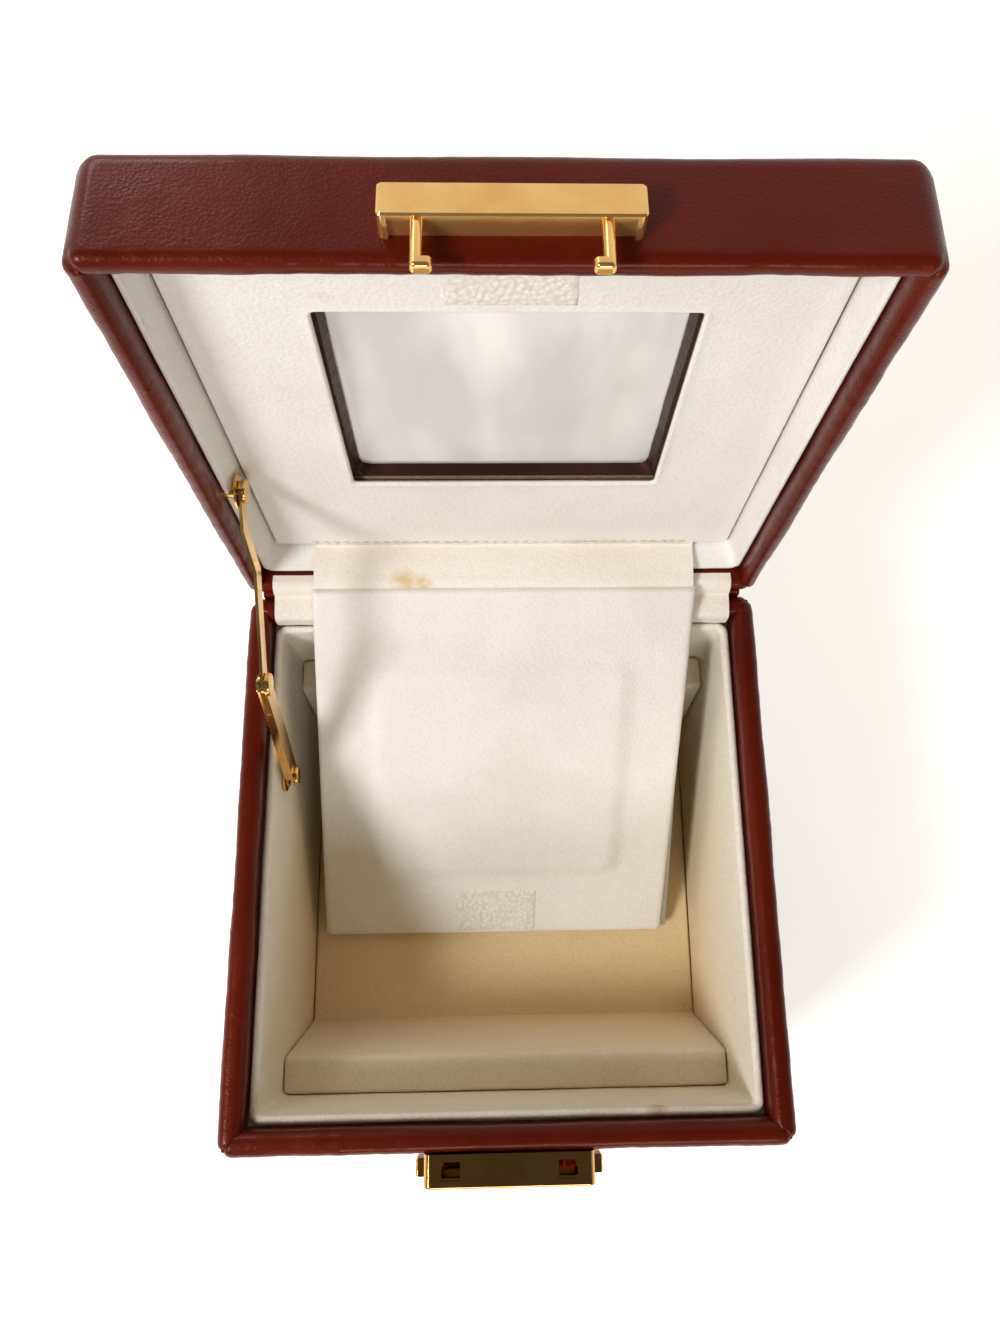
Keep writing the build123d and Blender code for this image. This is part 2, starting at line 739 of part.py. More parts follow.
with BuildPart() as lid_panel:
    with BuildSketch(lid_plane(panel_face)):
        with Locations((0, -lid_middle)):
            Rectangle(lid_inner_width - 2 * panel_fit, lid_inner_depth - 2 * panel_fit)
    extrude(amount=panel_thickness)
    extrude(
        window_sketch(lid_plane(panel_face), lining_window_ease),
        amount=panel_thickness,
        mode=Mode.SUBTRACT,
    )
    panel_front = lid_panel.faces().sort_by(lid_axis)[0]
    fillet(panel_front.inner_wires()[0].edges(), radius=soft_edge)
save(lid_panel, "lid_panel")

strip_outer_x = lid_mouth_width / 2 - lid_strip_gap
strip_outer_y = lid_mouth_depth / 2 - lid_strip_gap
strip_inner_x = strip_outer_x - lid_strip - lid_strip_lean
strip_inner_y = strip_outer_y - lid_strip - lid_strip_lean
strip_base = lid_rim + lid_strip_drop
lid_pin = lid_point(stay_lid_u, lid_rim + stay_lid_v)
lid_section = Plane(origin=(0, *lid_point(lid_middle, 0)), x_dir=(1, 0, 0), z_dir=u_direction)
lid_side_section = Plane(
    origin=(0, *lid_point(lid_middle, 0)), x_dir=u_direction, z_dir=(-1, 0, 0)
)


def strip_outline(outer, side):
    """Leaning cross-section of a lining strip as (distance from the middle, v) points."""
    edge = outer - lid_strip
    return [
        (side * outer, strip_base),
        (side * outer, panel_face),
        (side * (edge - lid_strip_lean), panel_face),
        (side * edge, strip_base),
    ]


def side_strip(side):
    """Lining strip inside the lid's left (-1) or right (+1) wall."""
    with BuildPart() as strip:
        with BuildSketch(lid_section):
            Polygon(strip_outline(strip_outer_x, side), align=None)
        extrude(amount=strip_outer_y, both=True)
    return strip


def end_strip(end):
    """Lining strip inside the lid's back (-1) or front (+1) wall, between the side strips."""
    with BuildPart() as strip:
        with BuildSketch(lid_side_section):
            Polygon(strip_outline(strip_outer_y, end), align=None)
        extrude(amount=strip_outer_x, both=True)
        add(lid_strip_left.part, mode=Mode.SUBTRACT)
        add(lid_strip_right.part, mode=Mode.SUBTRACT)
    return strip


lid_strip_left = side_strip(-1)
lid_strip_right = side_strip(1)
lid_strip_front = end_strip(1)
lid_strip_back = end_strip(-1)
with BuildPart() as lid_strip_left_bored:
    add(lid_strip_left.part)
    with BuildSketch(Plane(origin=(-strip_outer_x, *lid_pin), z_dir=(1, 0, 0))):
        Circle(pin_radius)
    extrude(amount=lid_strip + lid_strip_lean, mode=Mode.SUBTRACT)
save(lid_strip_left_bored, "lid_strip_left")
save(lid_strip_right, "lid_strip_right")
save(lid_strip_front, "lid_strip_front")
save(lid_strip_back, "lid_strip_back")

flap_length = lid_middle + strip_inner_y - flap_end_room - flap_stow_start
flap_width = 2 * (strip_inner_x - flap_side_room)
patch_end_s = flap_length - patch_margin
lid_patch_middle = flap_stow_start + patch_end_s - lid_patch_length / 2
with BuildPart() as lid_patch:
    with BuildSketch(lid_plane(panel_face - patch_thickness)):
        with Locations((0, -lid_patch_middle)):
            RectangleRounded(patch_width, lid_patch_length, patch_corner)
    extrude(amount=patch_thickness)
save(lid_patch, "lid_patch")

# ---------------------------------------------------------------- lock bar and hooks on the lid
bar_under = lid_rim + bar_rise
with BuildPart() as lock_bar:
    bar_plane = Plane(
        origin=(0, *lid_point(lid_front, bar_middle_v)), x_dir=(1, 0, 0), z_dir=u_direction
    )
    with BuildSketch(bar_plane):
        RectangleRounded(bar_width, bar_height, bar_corner)
    extrude(amount=bar_proud)
    bar_face = lock_bar.faces().sort_by(Axis((0, hinge_y, hinge_z), u_direction))[-1]
    chamfer(bar_face.edges(), length=bar_edge)
    with BuildSketch(lid_plane(bar_under)):
        with Locations((0, -lid_front - (bar_proud - bar_sheet) / 2)):
            Rectangle(bar_width - 2 * bar_corner - 2 * bar_sheet, bar_proud - bar_sheet)
    extrude(amount=bar_hollow, mode=Mode.SUBTRACT)
save(lock_bar, "lock_bar")

hook_middle_u = lid_front + slot_stand_off
foot_bottom_v = foot_top - hook_thickness - hinge_z
for side, name in ((-1, "hook_left"), (1, "hook_right")):
    with BuildPart() as hook:
        with BuildSketch(lid_plane(foot_bottom_v)):
            with Locations((side * (hook_outer - hook_stem / 2), -hook_middle_u)):
                RectangleRounded(hook_stem, hook_depth, hook_corner)
        extrude(amount=bar_under + bar_hollow - foot_bottom_v)
        with BuildSketch(lid_plane(foot_bottom_v)):
            with Locations((side * slot_offset, -hook_middle_u)):
                RectangleRounded(hook_foot, hook_depth, hook_corner)
        extrude(amount=hook_thickness)
        fillet(hook.faces().sort_by(lid_axis)[0].edges(), radius=hook_edge)
    save(hook, name)

# ---------------------------------------------------------------- flap
flap_fold_y = hinge_y - flap_fold_front
flap_fold_z = base_height + flap_fold_rise
flap_reach = flap_fold_z - floor_z - flap_floor_gap
flap_slope = asin(flap_reach / hypot(flap_length, flap_thickness)) - atan2(
    flap_thickness, flap_length
)
flap_frame = Plane(
    origin=(0, flap_fold_y, flap_fold_z),
    x_dir=(1, 0, 0),
    z_dir=(0, -sin(flap_slope), cos(flap_slope)),
)

# The flap turns about the one point that takes it from its open place to its stowed place.
open_fold = complex(
    (flap_fold_y - hinge_y) * u_direction[1] + (flap_fold_z - hinge_z) * u_direction[2],
    (flap_fold_y - hinge_y) * v_direction[1] + (flap_fold_z - hinge_z) * v_direction[2],
)
open_heading = complex(
    -cos(flap_slope) * u_direction[1] - sin(flap_slope) * u_direction[2],
    -cos(flap_slope) * v_direction[1] - sin(flap_slope) * v_direction[2],
)
flap_turn = -phase(open_heading)
stowed_fold = complex(flap_stow_start, panel_face - flap_stow_gap)
turn = exp(1j * flap_turn)
flap_pivot = (stowed_fold - turn * open_fold) / (1 - turn)
flap_pivot_y, flap_pivot_z = lid_point(flap_pivot.real, flap_pivot.imag)

board_length = flap_length - flap_soft_length
board_middle = flap_soft_length + board_length / 2
plug_width = window_width + 2 * plug_side_lap
plug_length = window_length + plug_near_lap + plug_far_lap
plug_middle = window_middle - flap_stow_start - (plug_near_lap - plug_far_lap) / 2
with BuildPart() as flap_board:
    with BuildSketch(flap_frame.offset(-(flap_thickness + flap_core) / 2)):
        with Locations((0, -board_middle)):
            Rectangle(flap_width - 2 * flap_core_margin, board_length - 2 * flap_core_margin)
    extrude(amount=flap_core)
save(flap_board, "flap_board")

with BuildPart() as flap_cover:
    with BuildSketch(flap_frame.offset(-flap_thickness)):
        with Locations((0, -board_middle)):
            RectangleRounded(flap_width, board_length, flap_corner)
    extrude(amount=flap_thickness)
    flap_axis = Axis(flap_frame.origin, flap_frame.z_dir)
    fillet(flap_cover.faces().sort_by(flap_axis)[0].edges(), radius=flap_edge)
    with BuildSketch(flap_frame.offset(-plug_root)):
        with Locations((0, -plug_middle)):
            RectangleRounded(plug_width, plug_length, plug_corner)
    extrude(amount=plug_rise + plug_root, taper=plug_taper)
    add(flap_board.part, mode=Mode.SUBTRACT)
save(flap_cover, "flap_cover")

with BuildPart() as flap_patch:
    with BuildSketch(flap_frame):
        with Locations((0, flap_patch_length / 2 - patch_end_s)):
            RectangleRounded(patch_width, flap_patch_length, patch_corner)
    extrude(amount=patch_thickness)
save(flap_patch, "flap_patch")

# The cloth strip is sewn along the panel's edge, crosses to the fold and meets the flap's cover.
strip_line_u = lid_middle - strip_inner_y + soft_gap + strip_cloth / 2
strip_under = strip_cloth / 2
with BuildPart() as flap_strip:
    with BuildSketch(Plane.YZ):
        with BuildLine():
            FilletPolyline(
                lid_point(strip_line_u + stitch_band, panel_face - strip_under),
                lid_point(strip_line_u, panel_face - strip_under),
                (
                    flap_fold_y + strip_under * sin(flap_slope),
                    flap_fold_z - strip_under * cos(flap_slope),
                ),
                (
                    flap_fold_y
                    - flap_soft_length * cos(flap_slope)
                    + strip_under * sin(flap_slope),
                    flap_fold_z
                    - flap_soft_length * sin(flap_slope)
                    - strip_under * cos(flap_slope),
                ),
                radius=strip_bend,
            )
        trace(line_width=strip_cloth)
    extrude(amount=flap_width / 2 - strip_inset, both=True)
save(flap_strip, "flap_strip")

# ---------------------------------------------------------------- leather hinge and cloth gusset
with BuildPart() as hinge_leather_strip:
    leg = hinge_leather_leg
    inner_corner = (half_depth, lid_point(hinge_set_back, 0)[1])
    lid_leg_end = lid_point(hinge_set_back, leg)
    lid_leg_out = lid_point(hinge_set_back - hinge_leather, leg)
    bend = (half_depth + hinge_leather, lid_point(hinge_set_back - hinge_leather, hinge_leather)[1])
    with BuildSketch(Plane.YZ):
        Polygon(
            (half_depth, base_height - leg),
            (half_depth, base_height - rim_radius),
            inner_corner,
            lid_leg_end,
            lid_leg_out,
            bend,
            (half_depth + hinge_leather, base_height - leg),
            align=None,
        )
    extrude(amount=half_width - corner_radius, both=True)
    add(base_leather.part, mode=Mode.SUBTRACT)
    add(lid_leather.part, mode=Mode.SUBTRACT)
save(hinge_leather_strip, "hinge_leather")

# The gusset hangs from the lid's back strip, crosses both rims and meets the back lining.
gusset_stand_off = soft_gap + gusset_cloth / 2
gusset_top_z = base_height + gusset_stand_off
gusset_drop_y = mouth_depth / 2 - gusset_stand_off
lid_drop_u = lid_middle - lid_mouth_depth / 2 + gusset_stand_off
with BuildPart() as hinge_gusset:
    with BuildSketch(Plane.YZ):
        with BuildLine():
            FilletPolyline(
                lid_point(lid_drop_u, strip_base - soft_gap),
                lid_point(lid_drop_u, lid_rim - gusset_stand_off),
                (half_depth - gusset_stand_off, gusset_top_z),
                (gusset_drop_y, gusset_top_z),
                (gusset_drop_y, lining_top + soft_gap),
                radius=(gusset_bend, gusset_bend, rim_radius),
            )
        trace(line_width=gusset_cloth)
    extrude(amount=mouth_width / 2 - gusset_side_gap, both=True)
save(hinge_gusset, "hinge_gusset")

# ---------------------------------------------------------------- lid stay
knee = (hinge_y - stay_knee_front, base_height + stay_knee_rise)
base_pin = (hinge_y - stay_base_front, base_height - stay_base_drop)
disc_top_v = lid_rim + stay_lid_v + pivot_disc_radius
strip_rise_share = (disc_top_v - strip_base) / (panel_face - strip_base)
strip_face_x = lid_strip + lid_strip_lean * strip_rise_share - strip_outer_x
lining_face_x = -(lining_inner_x - lean_at(base_pin[1] - pivot_disc_radius))
outer_leaf_x = lining_face_x + pivot_disc + stay_gap
gap_x = outer_leaf_x + leaf_thickness
inner_leaf_x = gap_x + leaf_gap
knee_arm_x = gap_x + (leaf_gap - arm_thickness) / 2
lid_arm_x = strip_face_x + pivot_disc + stay_gap


def arm_frame(start, end):
    """Plane at x = 0 whose x axis runs from start to end and whose normal is +X."""
    return Plane(origin=(0, *start), x_dir=(0, end[0] - start[0], end[1] - start[1]), z_dir=(1, 0, 0))


upper_frame = arm_frame(lid_pin, knee)
upper_length = hypot(knee[0] - lid_pin[0], knee[1] - lid_pin[1])
lower_frame = arm_frame(base_pin, knee)
lower_length = hypot(knee[0] - base_pin[0], knee[1] - base_pin[1])

with BuildPart() as stay_upper_arm:
    half_arm = arm_width / 2
    side_view = Plane(
        origin=upper_frame.origin, x_dir=upper_frame.x_dir, z_dir=upper_frame.y_dir
    )
    crank_x = lid_arm_x, knee_arm_x
    with BuildSketch(side_view.offset(-half_arm)):
        Polygon(
            *[
                (along, -x)
                for along, x in (
                    (-half_arm, crank_x[0]),
                    (crank_start, crank_x[0]),
                    (crank_start + crank_length, crank_x[1]),
                    (upper_length + half_arm, crank_x[1]),
                    (upper_length + half_arm, crank_x[1] + arm_thickness),
                    (crank_start + crank_length, crank_x[1] + arm_thickness),
                    (crank_start, crank_x[0] + arm_thickness),
                    (-half_arm, crank_x[0] + arm_thickness),
                )
            ],
            align=None,
        )
    extrude(amount=arm_width)
    fillet(
        stay_upper_arm.edges().filter_by(Axis.X).group_by(Axis((0, 0, 0), upper_frame.x_dir))[0],
        radius=half_arm * arm_end_share,
    )
    fillet(
        stay_upper_arm.edges().filter_by(Axis.X).group_by(Axis((0, 0, 0), upper_frame.x_dir))[-1],
        radius=half_arm * arm_end_share,
    )
    with BuildSketch(upper_frame.offset(lid_arm_x - arm_thickness)):
        Circle(pin_radius + pin_fit)
        with Locations((upper_length, 0)):
            Circle(pin_radius + pin_fit)
    extrude(amount=4 * arm_thickness + leaf_gap, mode=Mode.SUBTRACT)
save(stay_upper_arm, "stay_upper_arm")

with BuildPart() as stay_lower_arm:
    half_leaf = leaf_width / 2
    for leaf_x in (outer_leaf_x, inner_leaf_x):
        with BuildSketch(lower_frame.offset(leaf_x)):
            with Locations((lower_length / 2, 0)):
                SlotCenterToCenter(lower_length, leaf_width)
            with Locations((0, 0), (lower_length, 0)):
                Circle(pin_radius + pin_fit, mode=Mode.SUBTRACT)
        extrude(amount=leaf_thickness)
    with BuildSketch(lower_frame.offset(outer_leaf_x)):
        web_length = lower_length - web_knee_gap - web_pin_gap
        with Locations((web_pin_gap + web_length / 2, half_leaf - leaf_thickness / 2)):
            Rectangle(web_length, leaf_thickness)
    extrude(amount=2 * leaf_thickness + leaf_gap)
save(stay_lower_arm, "stay_lower_arm")


def stay_pivot(frame, steps):
    """Turned pivot: (radius, from x, to x) steps about the frame's origin."""
    with BuildPart() as pivot:
        for radius, start, end in steps:
            with BuildSketch(frame.offset(start)):
                Circle(radius)
            extrude(amount=end - start)
        dome = pivot.faces().sort_by(Axis.X)[-1]
        fillet(dome.edges(), radius=head_dome * stay_head)
    return pivot


lid_head_x = lid_arm_x + arm_thickness + stay_gap
save(
    stay_pivot(
        upper_frame,
        (
            (pin_radius, -strip_outer_x, lid_head_x),
            (pivot_disc_radius, strip_face_x, strip_face_x + pivot_disc),
            (stay_head_radius, lid_head_x, lid_head_x + stay_head),
        ),
    ),
    "stay_lid_pivot",
)
base_head_x = inner_leaf_x + leaf_thickness + stay_gap
save(
    stay_pivot(
        lower_frame,
        (
            (pivot_disc_radius, lining_face_x, lining_face_x + pivot_disc),
            (pin_radius, lining_face_x + pivot_disc, base_head_x),
            (stay_head_radius, base_head_x, base_head_x + stay_head),
        ),
    ),
    "stay_base_pivot",
)

# The knee rivet is open between the leaves, where the upper arm's eye runs free.
with BuildPart() as stay_knee_rivet:
    knee_frame = Plane(origin=(0, *knee), x_dir=lower_frame.x_dir, z_dir=(1, 0, 0))
    for head_x, shank_x, outward in (
        (inner_leaf_x + leaf_thickness, inner_leaf_x, 1),
        (outer_leaf_x, outer_leaf_x + leaf_thickness, -1),
    ):
        with BuildSketch(knee_frame.offset(head_x)):
            Circle(stay_head_radius if outward > 0 else pin_radius + knee_collar)
        extrude(amount=outward * (stay_head if outward > 0 else stay_gap * 3))
        with BuildSketch(knee_frame.offset(shank_x)):
            Circle(pin_radius)
        extrude(amount=outward * leaf_thickness)
    fillet(stay_knee_rivet.faces().sort_by(Axis.X)[-1].edges(), radius=head_dome * stay_head)
save(stay_knee_rivet, "stay_knee_rivet")

# ---------------------------------------------------------------- joint geometry
turn_degrees = degrees(flap_turn)
print(f"hinge line y {hinge_y:.3f} z {hinge_z:.3f}")
print(f"flap pivot y {flap_pivot_y:.3f} z {flap_pivot_z:.3f} turn {turn_degrees:.3f}")
print(f"stay pins lid {lid_pin} knee {knee} base {base_pin}")
print(f"stay lengths {upper_length:.3f} {lower_length:.3f}")
print(f"drawer box from {drawer_box_front:.2f}, floor z {floor_z:.2f}")
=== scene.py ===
"""Looks for the square leather jewellery box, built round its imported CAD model.

Sizes are written in millimetres and turned to metres where a mesh is made. The box frame has
+Z up and its front faces -Y. The lid frame turns with the lid: u runs from the hinge line to
the lid's front edge, and v from its rim to its top.
"""

from math import asin, atan2, cos, exp, hypot, pi, radians, sin, sqrt

import bmesh
import bpy
from mathutils import Matrix, Vector, noise


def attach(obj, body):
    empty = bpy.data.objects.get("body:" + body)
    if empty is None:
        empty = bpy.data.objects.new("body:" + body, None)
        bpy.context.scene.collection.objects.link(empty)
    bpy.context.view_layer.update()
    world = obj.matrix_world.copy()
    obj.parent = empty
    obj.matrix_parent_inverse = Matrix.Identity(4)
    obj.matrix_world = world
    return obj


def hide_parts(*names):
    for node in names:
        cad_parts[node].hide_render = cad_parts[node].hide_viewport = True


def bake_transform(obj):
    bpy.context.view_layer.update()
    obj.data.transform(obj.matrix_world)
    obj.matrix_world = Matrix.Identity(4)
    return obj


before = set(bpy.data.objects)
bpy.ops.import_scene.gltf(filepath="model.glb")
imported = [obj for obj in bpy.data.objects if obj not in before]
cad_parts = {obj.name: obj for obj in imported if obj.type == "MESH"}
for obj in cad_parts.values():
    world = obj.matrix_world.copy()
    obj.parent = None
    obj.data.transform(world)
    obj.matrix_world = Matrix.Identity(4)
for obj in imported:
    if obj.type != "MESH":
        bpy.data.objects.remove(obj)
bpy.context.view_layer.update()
MM = 0.001

# ------------ places from the CAD model
BOX_HALF, BOX_CORNER = 65.0, 3.5
BOARD_FACE = 63.8  # half size of the boards, which the leather is wrapped round
HINGE = Vector((0, 65.3, 100.15))
OPEN = radians(93.2)
U = Vector((0, -cos(OPEN), sin(OPEN)))
V = Vector((0, sin(OPEN), cos(OPEN)))
LID_MIDDLE = 65.3
FLOOR = 35.5
LINING_TOP, LINING_HALF = 95.0, 57.0
LEAN = 2.45  # how far the lining's walls lean in between their top and the floor
PANEL = 10.55  # v of the lid panel's face
CEILING = 12.75  # v of the lid board behind the panel
LID_TOP = 21.15
WINDOW_U, WINDOW_X, WINDOW_Y = 72.65, 33.3, 30.95
WINDOW_MIDDLE = LID_MIDDLE - WINDOW_U
FOLD_Y, FOLD_Z = 64.55, 108.36
FLAP_HALF, FLAP_START, FLAP_END, FLAP_THICK = 48.5, 1.0, 108.5, 3.2
TIP_GAP = 0.3  # between the flap's tip and the floor pad
FLAP_SLOPE = asin((FOLD_Z - FLOOR - TIP_GAP) / hypot(FLAP_END, FLAP_THICK)) - atan2(
    FLAP_THICK, FLAP_END
)
FLAP_FOLD = Vector((0, FOLD_Y, FOLD_Z))
FLAP_ALONG = Vector((0, -cos(FLAP_SLOPE), -sin(FLAP_SLOPE)))
FLAP_UP = Vector((0, -sin(FLAP_SLOPE), cos(FLAP_SLOPE)))


def lid(x, u, v):
    """Box-frame point of a lid-frame one."""
    return HINGE + Vector((x, 0, 0)) + U * u + V * v


def base_place(x, y, h):
    return Vector((x, y, h))


def lid_place(x, y, h):
    """Place of (x, y, height) in the lid seen shut, with y = 0 at its middle."""
    return lid(x, LID_MIDDLE - y, h)


def lining_half(z):
    """Half size of the space inside the base's lining, at height z."""
    return LINING_HALF - LEAN * (LINING_TOP - z) / (LINING_TOP - FLOOR)


def side_view(point):
    return point.y, point.z


def wave(x, y, z, size, seed=0.0):
    """Smooth noise from about -1 to 1 whose bumps are size millimetres across."""
    return noise.noise(Vector((x / size + seed, y / size - seed, z / size + 0.37 * seed)))


# ------------ materials
# Texture scales are in features per metre, and bump distances in metres.
def new_material(name):
    mat = bpy.data.materials.new(name)
    mat.use_nodes = True
    tree = mat.node_tree
    return mat, tree, tree.nodes["Principled BSDF"]


def add_node(tree, kind, **settings):
    made = tree.nodes.new(kind)
    for key, value in settings.items():
        if hasattr(made, key):
            setattr(made, key, value)
        else:
            made.inputs[key.replace("_", " ")].default_value = value
    return made


def coordinates(tree):
    return add_node(tree, "ShaderNodeTexCoord").outputs["Object"]


def noise_node(tree, coords, scale, detail, roughness):
    made = add_node(tree, "ShaderNodeTexNoise", Scale=scale, Detail=detail, Roughness=roughness)
    tree.links.new(coords, made.inputs["Vector"])
    return made.outputs["Fac"]


def voronoi_node(tree, coords, scale):
    made = add_node(tree, "ShaderNodeTexVoronoi", feature="F1", Scale=scale)
    tree.links.new(coords, made.inputs["Vector"])
    return made.outputs["Distance"]


def ramp(tree, value, stops):
    made = add_node(tree, "ShaderNodeValToRGB")
    elements = made.color_ramp.elements
    while len(elements) < len(stops):
        elements.new(0.5)
    for element, (place, colour) in zip(elements, stops):
        element.position = place
        element.color = (*colour, 1)
    tree.links.new(value, made.inputs["Fac"])
    return made.outputs["Color"]


def remap(tree, value, low, high, to_low, to_high):
    """Carry the range low to high over to to_low to to_high, clamped at its ends."""
    made = add_node(
        tree, "ShaderNodeMapRange", From_Min=low, From_Max=high, To_Min=to_low, To_Max=to_high
    )
    tree.links.new(value, made.inputs["Value"])
    return made.outputs["Result"]


def math_node(tree, operation, a, b):
    made = add_node(tree, "ShaderNodeMath", operation=operation)
    for socket, value in zip(made.inputs, (a, b)):
        if isinstance(value, (int, float)):
            socket.default_value = value
        else:
            tree.links.new(value, socket)
    return made.outputs["Value"]


def mix_colour(tree, factor, a, b):
    made = add_node(tree, "ShaderNodeMix", data_type="RGBA", blend_type="MIX")
    # inputs 0, 6 and 7 are the factor and the two colours
    for socket, value in ((made.inputs[0], factor), (made.inputs[6], a), (made.inputs[7], b)):
        if isinstance(value, tuple):
            socket.default_value = (*value, 1)
        elif isinstance(value, (int, float)):
            socket.default_value = value
        else:
            tree.links.new(value, socket)
    return made.outputs[2]


def bump(tree, height, strength, distance, below=None):
    made = add_node(tree, "ShaderNodeBump", Strength=strength, Distance=distance)
    tree.links.new(height, made.inputs["Height"])
    if below is not None:
        tree.links.new(below, made.inputs["Normal"])
    return made.outputs["Normal"]


def fill(tree, shader, **inputs):
    """Set or link a shader's inputs, whose names have underscores for spaces here."""
    for key, value in inputs.items():
        socket = shader.inputs[key.replace("_", " ")]
        if isinstance(value, (int, float, tuple)):
            socket.default_value = value
        else:
            tree.links.new(value, socket)


def spot(tree, tone, coords, centre, reach, colour, strength):
    """Mix a colour in round one point, with an uneven edge."""
    ragged = noise_node(tree, coords, scale=320, detail=3, roughness=0.6)
    away = add_node(tree, "ShaderNodeVectorMath", operation="DISTANCE")
    tree.links.new(coords, away.inputs[0])
    away.inputs[1].default_value = tuple(Vector(centre) * MM)
    near = remap(tree, away.outputs["Value"], 0.35 * reach * MM, reach * MM, strength, 0.0)
    patchy = math_node(tree, "MULTIPLY", near, remap(tree, ragged, 0.3, 0.6, 0.35, 1.0))
    return mix_colour(tree, patchy, tone, colour)


def leather_material(name, dark, middle, light, roughness=0.31):
    mat, tree, shader = new_material(name)
    at = coordinates(tree)
    clouds = noise_node(tree, at, scale=26, detail=4, roughness=0.55)
    tone = ramp(tree, clouds, ((0.22, dark), (0.50, middle), (0.82, light)))
    pores = voronoi_node(tree, at, scale=1700)
    tone = mix_colour(tree, remap(tree, pores, 0.25, 0.60, 0.0, 0.22), tone, dark)
    shine = noise_node(tree, at, scale=190, detail=4, roughness=0.6)
    fine = noise_node(tree, at, scale=3000, detail=2, roughness=0.5)
    folds = noise_node(tree, at, scale=520, detail=4, roughness=0.6)
    surface = bump(tree, folds, strength=0.09, distance=0.0003)
    surface = bump(tree, pores, strength=0.32, distance=0.00013, below=surface)
    surface = bump(tree, fine, strength=0.15, distance=0.00008, below=surface)
    fill(
        tree, shader, Base_Color=tone, Normal=surface,
        Roughness=remap(tree, shine, 0.3, 0.7, roughness - 0.05, roughness + 0.12),
        Specular_IOR_Level=0.24, Specular_Tint=(1.0, 0.36, 0.22, 1.0),
        Coat_Weight=0.12, Coat_Roughness=0.10,
    )
    return mat


DEEP_Z, PALE_Z = 0.036, 0.097  # heights, in metres, between which the painted warm shade fades out


def cloth_material(name, light, shade, stain, painted_low_shade=None, marks=()):
    """Cream leatherette: fine pebbles, faint clouds, stains, and painted warm shade low down when
    a low colour is given.
    """
    mat, tree, shader = new_material(name)
    at = coordinates(tree)
    clouds = noise_node(tree, at, scale=26, detail=4, roughness=0.6)
    tone = ramp(tree, clouds, ((0.32, shade), (0.60, light)))
    # painted shade: the colour turns darker and warmer towards the floor, where the walls shade
    # the cloth
    if painted_low_shade is not None:
        split = add_node(tree, "ShaderNodeSeparateXYZ")
        tree.links.new(at, split.inputs[0])
        low = remap(tree, split.outputs["Z"], DEEP_Z, PALE_Z, 1.0, 0.0)
        tone = mix_colour(tree, low, tone, painted_low_shade)
    spots = noise_node(tree, at, scale=70, detail=5, roughness=0.7)
    tone = mix_colour(tree, remap(tree, spots, 0.66, 0.80, 0.0, 0.45), tone, stain)
    pebbles = voronoi_node(tree, at, scale=1150)
    tone = mix_colour(tree, remap(tree, pebbles, 0.35, 0.75, 0.0, 0.10), tone, stain)
    for centre, reach, strength in marks:
        tone = spot(tree, tone, at, centre, reach, stain, strength)
    weave = noise_node(tree, at, scale=3200, detail=2, roughness=0.6)
    sag = noise_node(tree, at, scale=120, detail=3, roughness=0.5)
    surface = bump(tree, sag, strength=0.25, distance=0.0007)
    surface = bump(tree, pebbles, strength=0.45, distance=0.00022, below=surface)
    surface = bump(tree, weave, strength=0.22, distance=0.00008, below=surface)
    fill(
        tree, shader, Base_Color=tone, Normal=surface,
        Roughness=remap(tree, spots, 0.3, 0.7, 0.62, 0.82),
        Specular_IOR_Level=0.3, Sheen_Weight=0.15, Sheen_Roughness=0.5,
    )
    return mat


def brass_material(name, bright, dull, roughness, metal=1.0):
    """Polished brass plate with a soft haze and fine wear."""
    mat, tree, shader = new_material(name)
    at = coordinates(tree)
    haze = noise_node(tree, at, scale=110, detail=4, roughness=0.55)
    pits = noise_node(tree, at, scale=900, detail=4, roughness=0.7)
    tone = ramp(tree, haze, ((0.36, dull), (0.62, bright)))
    tone = mix_colour(tree, remap(tree, pits, 0.68, 0.80, 0.0, 0.5), tone, (0.22, 0.10, 0.03))
    fill(
        tree, shader, Base_Color=tone, Metallic=metal,
        Roughness=remap(tree, haze, 0.3, 0.7, roughness + 0.10, roughness),
        Normal=bump(tree, haze, strength=0.10, distance=0.0003),
    )
    return mat


def film_material():
    """Thin clear plastic with pale slanting bands painted into its colour as reflections off its
    soft creases.
    """
    mat, tree, shader = new_material("clear_film")
    at = coordinates(tree)
    slant = add_node(tree, "ShaderNodeMapping")
    slant.inputs["Rotation"].default_value = (0.0, 0.75, 0.0)
    slant.inputs["Scale"].default_value = (1.0, 0.3, 0.35)
    tree.links.new(at, slant.inputs["Vector"])
    crease_reflections = noise_node(tree, slant.outputs["Vector"], scale=48, detail=3, roughness=0.5)
    soft = noise_node(tree, at, scale=34, detail=2, roughness=0.4)
    fill(
        tree, shader, Specular_IOR_Level=0.4,
        # painted reflection: the paler bands stand for room light off the creases
        Base_Color=ramp(tree, crease_reflections, ((0.38, (0.66, 0.65, 0.66)), (0.62, (0.88, 0.87, 0.88)))),
        Alpha=remap(tree, crease_reflections, 0.35, 0.65, 0.62, 0.42),
        Roughness=remap(tree, crease_reflections, 0.3, 0.7, 0.12, 0.24),
        Normal=bump(tree, soft, strength=0.25, distance=0.0012),
    )
    return mat


def board_material(name, light, dark, scale):
    mat, tree, shader = new_material(name)
    at = coordinates(tree)
    chips = noise_node(tree, at, scale=scale, detail=6, roughness=0.75)
    flecks = voronoi_node(tree, at, scale=scale * 1.7)
    tone = ramp(tree, chips, ((0.35, dark), (0.65, light)))
    tone = mix_colour(tree, remap(tree, flecks, 0.2, 0.7, 0.0, 0.3), tone, dark)
    fill(
        tree, shader, Base_Color=tone, Roughness=remap(tree, chips, 0.3, 0.7, 0.75, 0.92),
        Normal=bump(tree, chips, strength=0.3, distance=0.0003),
    )
    return mat


